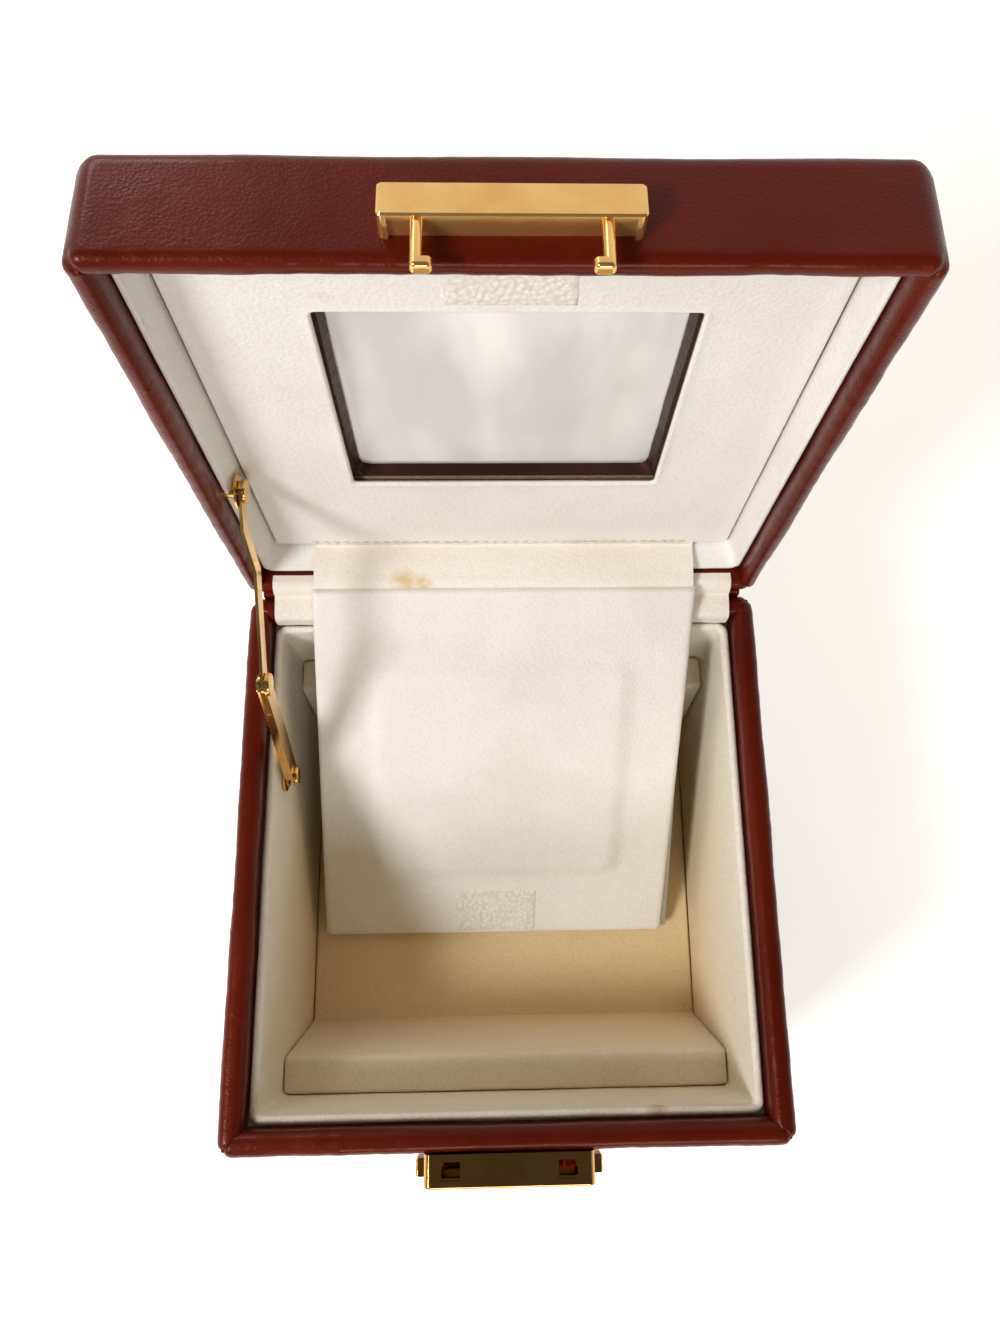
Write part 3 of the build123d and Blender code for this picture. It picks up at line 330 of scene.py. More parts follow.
def pile_material(name, light, dark, scale):
    """Hook-and-loop tape or felt: short fibres that stand in rows."""
    mat, tree, shader = new_material(name)
    at = coordinates(tree)
    loops = voronoi_node(tree, at, scale=scale)
    fuzz = noise_node(tree, at, scale=scale * 2.4, detail=3, roughness=0.7)
    tone = mix_colour(tree, remap(tree, loops, 0.1, 0.7, 0.0, 1.0), light, dark)
    tone = mix_colour(tree, remap(tree, fuzz, 0.35, 0.65, 0.0, 0.35), tone, dark)
    surface = bump(tree, loops, strength=0.7, distance=0.0003)
    surface = bump(tree, fuzz, strength=0.4, distance=0.00015, below=surface)
    fill(
        tree, shader, Base_Color=tone, Normal=surface, Sheen_Weight=0.25,
        Roughness=remap(tree, fuzz, 0.3, 0.7, 0.75, 0.95),
    )
    return mat


leather = leather_material(
    "leather_cover",
    dark=(0.056, 0.0045, 0.0020), middle=(0.096, 0.0082, 0.0032), light=(0.134, 0.0135, 0.0052),
)
# painted shade: the window's reveal lies in shadow, so its leather is made darker
leather_painted_shade = leather_material(
    "leather_painted_shade",
    dark=(0.018, 0.0085, 0.0065), middle=(0.034, 0.0150, 0.0115), light=(0.052, 0.0230, 0.0175),
)
cream_lid = cloth_material(
    "cream_lid", light=(0.85, 0.84, 0.81), shade=(0.80, 0.78, 0.74), stain=(0.60, 0.50, 0.36)
)
cream_flap = cloth_material(
    "cream_flap", light=(0.86, 0.845, 0.81), shade=(0.79, 0.765, 0.72), stain=(0.60, 0.50, 0.36)
)
# a mark is its centre, its reach in millimetres and its strength
cream_base = cloth_material(
    "cream_base", light=(0.86, 0.83, 0.76), shade=(0.79, 0.75, 0.66), stain=(0.45, 0.26, 0.10),
    # painted warm shade low in the base, darkest at the floor
    painted_low_shade=(0.76, 0.60, 0.35),
    marks=[((34.0, -57.6, LINING_TOP), 3.0, 0.75), ((-52.0, -30.0, 93.0), 2.0, 0.4)],
)
# painted shade for the narrow groove between the lid panel and its strips
groove_shade_cloth = cloth_material(
    "painted_groove_shade", light=(0.22, 0.15, 0.09), shade=(0.15, 0.10, 0.06), stain=(0.10, 0.06, 0.03)
)
glue_mark = FLAP_FOLD + Vector((-25.0, 1.6, -0.9))
cream_strip = cloth_material(
    "cream_strip", light=(0.88, 0.83, 0.77), shade=(0.82, 0.76, 0.68), stain=(0.66, 0.44, 0.16),
    marks=[(tuple(glue_mark), 4.5, 0.7), (tuple(glue_mark + Vector((5.0, -0.4, 0))), 3.0, 0.7)],
)
brass = brass_material(
    "brass_plate", bright=(0.84, 0.46, 0.15), dull=(0.66, 0.32, 0.09), roughness=0.07
)
brass_bar = brass_material(
    "brass_bar", bright=(0.93, 0.58, 0.21), dull=(0.84, 0.47, 0.15), roughness=0.12, metal=0.85
)
brass_stay = brass_material(
    "brass_stay", bright=(0.97, 0.62, 0.23), dull=(0.84, 0.48, 0.15), roughness=0.11
)
film = film_material()
fibreboard = board_material(
    "fibreboard", light=(0.42, 0.30, 0.18), dark=(0.24, 0.16, 0.09), scale=700
)
grey_card = board_material(
    "grey_card", light=(0.40, 0.37, 0.32), dark=(0.28, 0.26, 0.22), scale=1200
)
tape = pile_material("hook_tape", light=(0.90, 0.88, 0.84), dark=(0.73, 0.69, 0.61), scale=900)
felt = pile_material(
    "foot_felt", light=(0.045, 0.018, 0.014), dark=(0.015, 0.007, 0.006), scale=1800
)
thread = pile_material(
    "cream_thread", light=(0.88, 0.83, 0.73), dark=(0.66, 0.58, 0.46), scale=2600
)


# ------------ mesh builders
def make_piece(name, points, faces, body, material, stands_for=(), sharp=50):
    mesh = bpy.data.meshes.new(name)
    mesh.from_pydata([tuple(p * MM) for p in points], [], faces)
    mesh.validate()
    mesh.materials.append(material)
    piece = bpy.data.objects.new(name, mesh)
    bpy.context.scene.collection.objects.link(piece)
    mesh.shade_smooth()
    mesh.set_sharp_from_angle(angle=radians(sharp))
    if body:
        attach(piece, body)
    if stands_for:
        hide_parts(*stands_for)
    return piece


def face_outward(piece):
    """Point a closed mesh's faces outwards."""
    work = bmesh.new()
    work.from_mesh(piece.data)
    bmesh.ops.recalc_face_normals(work, faces=work.faces)
    work.to_mesh(piece.data)
    work.free()


def outline(half_x, half_y, radius, sides, corners, middle_y):
    """Points round a rounded rectangle: (x, y, outward x, outward y, side, place in corner)."""
    radius = max(radius, 0.05)
    centres = (
        (-half_x + radius, -half_y + radius, pi),
        (half_x - radius, -half_y + radius, 1.5 * pi),
        (half_x - radius, half_y - radius, 0.0),
        (-half_x + radius, half_y - radius, 0.5 * pi),
    )
    found = []

    def add(x, y, a, side, corner):
        found.append((x + radius * cos(a), y + radius * sin(a), cos(a), sin(a), side, corner))

    for k in range(4):
        cx, cy, first = centres[k]
        for i in range(corners + 1):
            add(cx, middle_y + cy, first + i / corners * pi / 2, k, i / corners)
        nx, ny, _ = centres[(k + 1) % 4]
        for i in range(1, sides):
            t = i / sides
            add(cx + (nx - cx) * t, middle_y + cy + (ny - cy) * t, first + pi / 2, k, None)
    return found


def ring_mesh(rings, closed=True):
    """Points and faces of a loft through closed rings; closed joins the last ring to the first."""
    count = len(rings[0])
    points = [p for r in rings for p in r]
    faces = []
    last = len(rings) if closed else len(rings) - 1
    for j in range(last):
        k = (j + 1) % len(rings)
        for i in range(count):
            n = (i + 1) % count
            faces.append((j * count + i, j * count + n, k * count + n, k * count + i))
    return points, faces


def station(half, height, radius, out=0.0, up=0.0, roll=0.0, middle=0.0, half_y=None):
    """One ring of a soft shell: its half size, height, corner radius and how it ripples.

    Ripples push it outwards by out and upwards by up, roll is how strongly it is gathered, and
    middle is the y of its centre. half_y is its half size along y, where that differs.
    """
    return (half, half if half_y is None else half_y, radius, height, out, up, roll, middle)


def window_station(reach, height, radius, out=0.0, up=0.0, roll=0.0):
    """A station that lies reach outside the window's edge."""
    return station(
        WINDOW_X + reach, height, radius, out, up, roll, WINDOW_MIDDLE, WINDOW_Y + reach
    )


def between_station(half, reach, t, height, radius, up):
    """A station t of the way from a centred square to reach outside the window's edge."""
    half_x = half + (WINDOW_X + reach - half) * t
    half_y = half + (WINDOW_Y + reach - half) * t
    return station(half_x, height, radius, up=up, middle=WINDOW_MIDDLE * t, half_y=half_y)


def roll_stations(half, inset, height, radius, start, stop, count, turn, corner, roll=1.0):
    """Stations round an arc whose centre lies inset in from half; angles from outward to up."""
    found = []
    for i in range(count):
        a = radians(start + (stop - start) * i / (count - 1))
        out, up = cos(a), turn * sin(a)
        reach = half - inset + radius * out
        found.append(station(reach, height + radius * up, corner - (half - reach), out, up, roll))
    return found


# heights and sizes of what ripples a soft shell, in millimetres
RIPPLE, RIPPLE_SIZE = 0.22, 23
GATHER, GATHER_SIZE = 0.11, 2.6
PUCKER, PUCKER_SIZE = 0.16, 11
MITRE, MITRE_WIDTH = 0.45, 0.17  # the width is a share of the corner


def shell_rings(place, stations, sides, corners, seed):
    """Rings of points through the stations of a soft shell."""
    rings = []
    for half_x, half_y, radius, height, out, up, roll, middle in stations:
        ring = []
        for x, y, nx, ny, side, corner in outline(half_x, half_y, radius, sides, corners, middle):
            along = x if side in (0, 2) else y
            lift = RIPPLE * wave(x, y, height, RIPPLE_SIZE, seed) * (1 if out or up else 0)
            if roll:
                # fine gathers run across the roll, and the corners are mitred
                gather = wave(along, 40 * side, 0.3 * height, GATHER_SIZE, seed + 5)
                pucker = wave(along, 9 * side, height, PUCKER_SIZE, seed + 9)
                lift += GATHER * roll * gather + PUCKER * roll * pucker
                if corner is not None:
                    lift -= MITRE * roll * exp(-(((corner - 0.5) / MITRE_WIDTH) ** 2))
            ring.append(place(x + nx * out * lift, y + ny * out * lift, height + up * lift))
        rings.append(ring)
    return rings


def shell(
    name, stations, place, sides, corners, seed, body, material, stands_for
):
    """A closed soft shell lofted through its stations."""
    points, faces = ring_mesh(shell_rings(place, stations, sides, corners, seed))
    piece = make_piece(name, points, faces, body, material, stands_for)
    face_outward(piece)
    return piece


def second_material(piece, material, chosen):
    """Give a material to the faces whose middles, as distance from x = 0, u and v, are chosen."""
    piece.data.materials.append(material)
    for face in piece.data.polygons:
        middle = face.center / MM - HINGE
        if chosen(abs(middle.x), middle.dot(U), middle.dot(V)):
            face.material_index = 1


def span(first, last, count):
    return [first + (last - first) * i / (count - 1) for i in range(count)]


def grid_border(columns, rows):
    """The places (i, j) once round the edge of a grid of points."""
    border = [(i, 0) for i in range(columns)] + [(columns - 1, j) for j in range(1, rows)]
    border += [(i, rows - 1) for i in range(columns - 2, -1, -1)]
    return border + [(0, j) for j in range(rows - 2, 0, -1)]


def two_layer_faces(across, along):
    """Faces of a closed sheet made of two grids of across by along cells."""
    row, layer = across + 1, (across + 1) * (along + 1)
    faces = []
    for j in range(along):
        for i in range(across):
            p = j * row + i
            faces.append((p, p + 1, p + 1 + row, p + row))
            faces.append((layer + p, layer + p + row, layer + p + 1 + row, layer + p + 1))
    for j in range(along):
        p, q = j * row, j * row + across
        faces.append((p, p + row, layer + p + row, layer + p))
        faces.append((q, layer + q, layer + q + row, q + row))
    for i in range(across):
        p, q = i, along * row + i
        faces.append((p, layer + p, layer + p + 1, p + 1))
        faces.append((q, q + 1, layer + q + 1, layer + q))
    return faces


def edge_drop(edge, du, dv):
    """How far a rounded edge has dropped at du and dv outside where it starts."""
    return edge - sqrt(max(0.0, edge * edge - du * du - dv * dv))


def level_corners(half, near, far, z):
    """Corners of a level rectangle whose sides along x lie at y = near and y = far."""
    return [(-half, near, z), (half, near, z), (half, far, z), (-half, far, z)]


def slab(name, corners, thick, nu, nv, edge, body, material, stands_for, crown, rough, seed):
    """Closed padded slab: its face runs through four corners and it is thick deep behind it."""
    a, b, c, d = (Vector(p) for p in corners)
    up = (b - a).cross(d - a).normalized()
    wide, long = ((b - a).length + (c - d).length) / 2, ((d - a).length + (c - b).length) / 2

    def places(size, count):
        near = [0.0, 0.08 * edge, 0.25 * edge, 0.5 * edge, 0.8 * edge, 1.2 * edge]
        inner = span(1.2 * edge, size - 1.2 * edge, count)[1:-1]
        return [t / size for t in near + inner + [size - t for t in reversed(near)]]

    def on_face(s, t):
        return (a * (1 - s) + b * s) * (1 - t) + (d * (1 - s) + c * s) * t

    us, vs = places(wide, nu), places(long, nv)
    points, index = [], {}
    for j, t in enumerate(vs):
        for i, s in enumerate(us):
            at = on_face(s, t)
            du = max(0.0, edge - min(s, 1 - s) * wide)
            dv = max(0.0, edge - min(t, 1 - t) * long)
            drop = edge_drop(edge, du, dv)
            lift = crown * (1 - (2 * s - 1) ** 4) * (1 - (2 * t - 1) ** 4)
            lift += rough * wave(at.x, at.y, at.z, 14, seed) * (1 - drop / edge)
            index[i, j] = len(points)
            points.append(at + up * (lift - drop))
    faces = [
        (index[i, j], index[i + 1, j], index[i + 1, j + 1], index[i, j + 1])
        for j in range(len(vs) - 1)
        for i in range(len(us) - 1)
    ]
    border = grid_border(len(us), len(vs))
    back = {}
    for i, j in border:
        back[i, j] = len(points)
        points.append(on_face(us[i], vs[j]) - up * thick)
    for k, here in enumerate(border):
        there = border[(k + 1) % len(border)]
        faces.append((index[here], back[here], back[there], index[there]))
    faces.append(tuple(back[p] for p in reversed(border)))
    return make_piece(name, points, faces, body, material, stands_for)


def ribbon(
    name, path, half_width, thick, across, material, stands_for, rough, seed, skew=None
):
    line = [Vector((0, y, z)) for y, z in path]
    points, count = [], len(line)
    for side in (1, -1):
        for j, middle in enumerate(line):
            way = (line[min(j + 1, count - 1)] - line[max(j - 1, 0)]).normalized()
            up = Vector((0, -way.z, way.y))
            shift = skew(j / (count - 1)) if skew else 0.0
            for i in range(across + 1):
                x = half_width * (2 * i / across - 1)
                lift = rough * wave(x, middle.y, middle.z, 9, seed)
                points.append(middle + Vector((x + shift, 0, 0)) + up * (side * thick / 2 + lift))
    faces = two_layer_faces(across, count - 1)
    piece = make_piece(name, points, faces, None, material, stands_for)
    face_outward(piece)
    return piece


def rounded_path(corners, radius, step=0.5):
    """A polyline's points with each corner turned into a smooth bend."""
    found = [Vector(corners[0])]
    for before, at, after in zip(corners, corners[1:], corners[2:]):
        before, at, after = Vector(before), Vector(at), Vector(after)
        cut = min(radius, 0.45 * (at - before).length, 0.45 * (after - at).length)
        first, last = at + (before - at).normalized() * cut, at + (after - at).normalized() * cut
        for i in range(9):
            t = i / 8
            found.append(first * (1 - t) ** 2 + at * (2 * t * (1 - t)) + last * t * t)
    found.append(Vector(corners[-1]))
    dense = [found[0]]
    for a, b in zip(found, found[1:]):
        pieces = max(1, round((b - a).length / step))
        dense += [a.lerp(b, i / pieces) for i in range(1, pieces + 1)]
    return [(p.x, p.y) for p in dense]


def cut_box(piece, low, high):
    """Cut a box out of a piece."""
    lx, ly, lz = low
    hx, hy, hz = high
    spots = [Vector((x, y, z)) * MM for x in (lx, hx) for y in (ly, hy) for z in (lz, hz)]
    faces = [(0, 1, 3, 2), (4, 6, 7, 5), (0, 4, 5, 1), (2, 3, 7, 6), (0, 2, 6, 4), (1, 5, 7, 3)]
    mesh = bpy.data.meshes.new("cutter")
    mesh.from_pydata(spots, [], faces)
    cutter = bpy.data.objects.new("cutter", mesh)
    bpy.context.scene.collection.objects.link(cutter)
    cut = piece.modifiers.new("cut", "BOOLEAN")
    cut.object, cut.operation, cut.solver = cutter, "DIFFERENCE", "EXACT"
    bpy.context.view_layer.update()
    shaped = bpy.data.meshes.new_from_object(
        piece.evaluated_get(bpy.context.evaluated_depsgraph_get())
    )
    piece.modifiers.clear()
    piece.data = shaped
    bpy.data.objects.remove(cutter)
    shaped.shade_smooth()
    shaped.set_sharp_from_angle(angle=radians(40))


# ------------ base cover
SIDES, CORNERS = 130, 8
# up the outside, over the rolled rim, down inside it, and back along the board
stations = [station(BOX_HALF, z, BOX_CORNER, out=1.0) for z in span(1.0, 92.0, 24)]
stations += [station(BOX_HALF, z, BOX_CORNER, out=1.0, roll=0.5) for z in span(94.0, 97.0, 3)]
for inset, start in ((2.4, 0), (3.1, 90)):
    stations += roll_stations(
        BOX_HALF, inset, height=97.6, radius=2.4, start=start, stop=start + 90, count=8, turn=1,
        corner=BOX_CORNER,
    )
stations += [station(59.5, z, 0.4, out=-1.0, roll=0.6) for z in span(96.6, 92.0, 4)]
hidden = ((60.3, 92.0), (60.3, 98.7), (BOARD_FACE, 98.7), (BOARD_FACE, 1.0))
stations += [station(half, z, 0.4) for half, z in hidden]
base_cover = shell(
    "base_cover", stations, base_place, SIDES, CORNERS, 2.0, "base", leather, ["base_leather"],
)
drawer_opening = ((-57, -70, 4), (57, -60, 31))
cut_box(base_cover, *drawer_opening)

# ------------ lid cover
MOUTH = 13.0  # how far outside the window its bevel starts
BEVEL_FOOT, REVEAL_TOP = 15.45, 15.2
LIP_IN = 1.1  # how far the foot of the bevel reaches in over the window
TURN_IN = 6.15  # v where the leather that is turned in over the rim ends
# out of the lid's inside, over its rolled rim, up the outside and over the top's edge
stations = [station(60.8, h, 0.5, out=-1.0, roll=0.5) for h in span(TURN_IN, 3.0, 4)]
stations += reversed(
    roll_stations(
        BOX_HALF, inset=2.1, height=2.25, radius=2.1, start=0, stop=180, count=16, turn=-1,
        corner=BOX_CORNER,
    )
)
stations += [station(BOX_HALF, h, BOX_CORNER, out=1.0, roll=0.25) for h in span(3.2, 17.6, 9)]
stations += roll_stations(
    BOX_HALF, inset=3.0, height=18.15, radius=3.0, start=0, stop=90, count=9, turn=1, corner=3.8,
    roll=0.3,
)
# in along the top, down the bevel, and down the window's reveal
for t in span(0.15, 1.0, 6):
    stations.append(between_station(62.0, MOUTH, t, LID_TOP, 1.0 + 4.5 * t, up=1.0))
for t in span(0.06, 1.0, 14):
    reach = MOUTH * (1 - t) - LIP_IN * t
    height = LID_TOP + (BEVEL_FOOT - LID_TOP) * (t - 0.045 * sin(2 * pi * t))
    stations.append(window_station(reach, height, 3.0 + 2.5 * (1 - t), up=1.0))
for t in span(0.0, 1.0, 6):
    height = REVEAL_TOP + (CEILING + 0.05 - REVEAL_TOP) * t
    stations.append(window_station(LIP_IN * (t - 1), height, 3.0 - 1.4 * t, out=-1.0, roll=0.6))
# back along the board, out of sight
stations += [
    window_station(4.0, CEILING - 0.03, 1.4),
    window_station(4.0, 14.3, 2.2),
    window_station(MOUTH, 19.7, 3.0),
    station(BOARD_FACE, 19.9, 2.3),
    station(BOARD_FACE, 1.5, 2.3),
    station(61.6, 1.5, 0.4),
    station(61.6, TURN_IN, 0.4),
]
lid_cover = shell(
    "lid_cover", stations, lid_place, SIDES, CORNERS, 7.0, "lid", leather, ["lid_leather"],
)


def on_reveal(x, u, v):
    """Whether a face is on the window's reveal, the board's edge, whose leather is painted darker
    as shade.
    """
    return x < WINDOW_X + 3.5 and abs(u - WINDOW_U) < WINDOW_Y + 3.5 and v < 15.25


# the reveal gets the leather with painted shade
second_material(lid_cover, leather_painted_shade, on_reveal)

# ------------ drawer front and hinge leather
drawer_cover = slab(
    "drawer_cover",
    [(-56.5, -65.1, 4.5), (56.5, -65.1, 4.5), (56.5, -65.1, 30.5), (-56.5, -65.1, 30.5)],
    thick=1.3, nu=90, nv=24, edge=1.1, body="drawer", material=leather,
    stands_for=["drawer_front_leather"], crown=0.35, rough=0.12, seed=4.0,
)

hinge_path = rounded_path([(65.45, 89.0), (65.45, 99.85), (76.2, 99.75)], 0.9)
hinge_band = ribbon(
    "hinge_band", hinge_path, half_width=61.5, thick=0.7, across=80, material=leather,
    stands_for=["hinge_leather"], rough=0.05, seed=3.0,
)
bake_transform(hinge_band)

# ------------ base lining
EDGE = 1.0  # radius of the lining's rolled top edge
stations = [station(lining_half(z), z, 1.6, out=-1.0) for z in span(FLOOR, LINING_TOP - EDGE, 16)]
for a in span(0, 180, 11):
    half = LINING_HALF + EDGE - cos(radians(a))
    height, radius = LINING_TOP - EDGE + sin(radians(a)), 1.6 + (half - LINING_HALF) * 0.6
    stations.append(station(half, height, radius, up=0.7, roll=0.35))
stations += [station(59.0, 91.7, 2.0), station(60.2, 91.6, 0.5), station(60.2, FLOOR, 0.5)]
lining = shell(
    "lining_walls", stations, base_place, 100, 7, 12.0, "base", cream_base,
    ["lining_left", "lining_right", "lining_front", "lining_back"],
)

floor_half = lining_half(FLOOR) - 0.1
floor_pad = slab(
    "floor_pad", level_corners(floor_half, -floor_half, floor_half, FLOOR),
    thick=1.4, nu=50, nv=50, edge=0.8, body="base", material=cream_base,
    stands_for=["lining_floor"], crown=0.0, rough=0.12, seed=6.0,
)

LEDGE_TOP, LEDGE_MIDDLE = 71.0, 50.0


def ledge(name, end, node_name):
    """Cloth-covered block along the front (-1) or back (+1) wall."""
    foot, ridge = lining_half(FLOOR) - 14.0, lining_half(LEDGE_TOP) - 8.8
    wall = lining_half(LEDGE_TOP) - 0.2
    corners = [(foot, FLOOR), (ridge, LEDGE_TOP), (wall, LEDGE_TOP), (wall - 1.4, FLOOR)]
    profile = rounded_path(corners, 1.3, 1.6)
    count, rows = len(profile), 70
    rings = []
    for i in range(rows + 1):
        t = i / rows
        from_end = min(t, 1 - t) * 110
        pinch = 0.7 * exp(-from_end / 0.9)
        ring = []
        for y, z in profile:
            above_floor = z > FLOOR + 1
            x = (lining_half(z) - 0.45) * (2 * t - 1)
            swell = 0.14 * wave(x, y, z, 12, 3.0 * end) - pinch * (0.6 if above_floor else 0)
            outward = (y - LEDGE_MIDDLE) / max(1.0, abs(y - LEDGE_MIDDLE))
            lifted = z + (swell if above_floor else 0)
            ring.append(Vector((x, end * (y + 0.5 * swell * outward), lifted)))
        rings.append(ring)
    points, faces = ring_mesh(rings, closed=False)
    faces += [tuple(reversed(range(count))), tuple(rows * count + i for i in range(count))]
    piece = make_piece(name, points, faces, "base", cream_base, [node_name])
    face_outward(piece)


ledge("ledge_front_cover", -1, "ledge_front")
ledge("ledge_back_cover", 1, "ledge_back")

# ------------ lid lining
PANEL_HALF, PANEL_BACK = 60.9, 12.68
PUFF = 0.22
# the groove beside the strips and the lip over it, as half size and depth below the face
groove = [(PANEL_HALF, 1.25), (58.0, 1.25), (57.7, 1.15), (57.25, 0.50), (56.85, 0.12)]
stations = [station(half, PANEL + dip, 0.5) for half, dip in groove]
for t in span(0.0, 1.0, 15):
    puff = PUFF * sin(pi * min(1.0, t * 1.15)) ** 2
    stations.append(between_station(56.4, 1.3, t, PANEL - puff, 0.5 + 0.7 * t, up=-1.0))
for a in span(12, 90, 8):
    s, c = sin(radians(a)), cos(radians(a))
    height = PANEL - 0.10 + 0.7 * (1 - c)
    stations.append(window_station(0.45 + 0.8 * (1 - s), height, 1.2, up=-0.5))
stations += [
    window_station(1.2, 11.9, 1.2),
    window_station(3.0, PANEL_BACK, 1.2),
    station(PANEL_HALF, PANEL_BACK, 0.4),
]
panel = shell(
    "panel_cover", stations, lid_place, 90, 5, 21.0, "lid", cream_lid, ["lid_panel"]
)
# the groove beside the strips is painted dark as shade
second_material(panel, groove_shade_cloth, lambda x, u, v: max(x, abs(u - LID_MIDDLE)) > 57.3)

# one padded strip runs round the walls and leans in towards the panel
strip_rim, strip_deep = 4.7, PANEL + 1.15
stations = [
    station(57.85 + 1.6 * t, strip_deep + (strip_rim + 0.5 - strip_deep) * t, 2.2, out=-1.0)
    for t in span(0.0, 1.0, 9)
]
for a in span(15, 180, 9):
    half = 59.98 - 0.53 * cos(radians(a))
    height = strip_rim + 0.5 - 0.5 * sin(radians(a))
    stations.append(station(half, height, 2.3, up=-0.7, roll=0.4))
stations += [station(60.5, strip_rim + 1.0, 2.4), station(60.5, strip_deep, 2.4)]
lid_strip = shell(
    "lid_strip_cover", stations, lid_place, 90, 6, 27.0, "lid", cream_lid,
    ["lid_strip_left", "lid_strip_right", "lid_strip_front", "lid_strip_back"],
)

# ------------ clear film
CELLS = 46
FILM_V, FILM_THICK, FILM_BOW = 15.0, 0.3, 0.16
points = []
for layer in (0, 1):
    for j in range(CELLS + 1):
        for i in range(CELLS + 1):
            x = WINDOW_X * (2 * i / CELLS - 1)
            u = WINDOW_U + WINDOW_Y * (2 * j / CELLS - 1)
            free = (1 - (x / WINDOW_X) ** 2) * (1 - ((u - WINDOW_U) / WINDOW_Y) ** 2)
            bow = FILM_BOW * free ** 0.5 * wave(x, u, 0, 24, 4.0)
            points.append(lid(x, u, FILM_V + FILM_THICK * layer - abs(bow)))
pane = make_piece(
    "window_pane", points, two_layer_faces(CELLS, CELLS), "lid", film,
    ["window_film"],
)
face_outward(pane)

# ------------ flap
PLUG_LEFT, PLUG_RIGHT, PLUG_NEAR, PLUG_FAR = -35.0, 35.0, 20.8, 88.3
PLUG_RISE, PLUG_CORNER, PLUG_RAMP = 1.2, 6.0, 5.4
FLAP_SHIFT, FLAP_SKEW = 0.4, 0.03  # the cover hangs a little askew, as the real one does
FLAP_EDGE = 1.55


def flap_point(x, s, h):
    """A point on the flap: x across, s from its fold, h above its top face."""
    across = Vector((x + FLAP_SHIFT - FLAP_SKEW * s, 0, 0))
    return FLAP_FOLD + FLAP_ALONG * s + FLAP_UP * h + across


def plug_height(x, s):
    """Height of the raised plug that lies in the window when the lid is shut."""
    dx = max(PLUG_LEFT + PLUG_CORNER - x, x - PLUG_RIGHT + PLUG_CORNER, 0.0)
    ds = max(PLUG_NEAR + PLUG_CORNER - s, s - PLUG_FAR + PLUG_CORNER, 0.0)
    t = min(1.0, max(0.0, (PLUG_CORNER - hypot(dx, ds) + 0.8) / PLUG_RAMP))
    return PLUG_RISE * t * t * (3 - 2 * t)


def flap_places(low, high, step=1.1):
    """Where the flap's grid lines lie, closer together at its rounded edges."""
    near = [0.0, 0.12, 0.4, 0.8, 1.3, 1.9]
    inset = near[-1]
    count = max(2, round((high - low - 2 * inset) / step))
    inner = span(low + inset, high - inset, count + 1)[1:-1]
    return [low + t for t in near] + inner + [high - t for t in reversed(near)]


xs, ss = flap_places(-FLAP_HALF, FLAP_HALF), flap_places(FLAP_START, FLAP_END)
plug_corners = [(x, s) for s in (PLUG_NEAR, PLUG_FAR) for x in (PLUG_LEFT, PLUG_RIGHT)]
points, grids = [], []
for face_side in (1, -1):
    grid = {}
    for j, s in enumerate(ss):
        for i, x in enumerate(xs):
            du = max(0.0, FLAP_EDGE - min(x + FLAP_HALF, FLAP_HALF - x))
            dv = max(0.0, FLAP_EDGE - min(1.8 * (s - FLAP_START), FLAP_END - s))
            drop = edge_drop(FLAP_EDGE, du, dv)
            flat = 1 - drop / FLAP_EDGE
            if face_side > 0:
                plug = plug_height(x, s)
                slack = flat * (1 - 0.6 * plug / PLUG_RISE)
                puckers = 0.30 * wave(x, s, 0, 26, 1.0) + 0.10 * wave(x, s, 0, 7, 2.0)
                h = plug - drop + slack * puckers
                # the cloth pulls in shallow folds off the pad's corners
                for cx, cs in plug_corners:
                    away = hypot(x - cx, s - cs)
                    h += 0.09 * flat * exp(-away / 7.0) * sin(5.0 * atan2(s - cs, x - cx))
            else:
                h = -FLAP_THICK + drop + 0.10 * flat * (1 + wave(x, s, 0, 20, 3.0))
            grid[i, j] = len(points)
            points.append(flap_point(x, s, h))
    grids.append(grid)
top, under = grids
faces = []
for j in range(len(ss) - 1):
    for i in range(len(xs) - 1):
        faces.append((top[i, j], top[i, j + 1], top[i + 1, j + 1], top[i + 1, j]))
        faces.append((under[i, j], under[i + 1, j], under[i + 1, j + 1], under[i, j + 1]))
border = grid_border(len(xs), len(ss))
for k, here in enumerate(border):
    there = border[(k + 1) % len(border)]
    faces.append((top[here], top[there], under[there], under[here]))
flap_pad = make_piece("flap_pad", points, faces, "flap", cream_flap, ["flap_cover"])
face_outward(flap_pad)

# the strip is stitched along the panel's near edge and folds over onto the flap
dip = FLAP_FOLD - FLAP_UP * 1.75
lap = FLAP_FOLD + FLAP_ALONG * 3.2 - FLAP_UP * 1.95
strip_corners = [
    side_view(lid(0, 9.3, PANEL - 0.35)),
    side_view(lid(0, 8.1, PANEL - 0.45)),
    side_view(lid(0, 8.1, 5.0)),
    side_view(dip),
    side_view(lap),
]
cloth_strip = ribbon(
    "flap_hinge_cloth", rounded_path(strip_corners, 1.4), half_width=47.9, thick=0.55, across=90,
    material=cream_strip, stands_for=["flap_strip"], rough=0.12, seed=5.0,
    skew=lambda t: 0.4 - 0.2 * t,
)
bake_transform(cloth_strip)


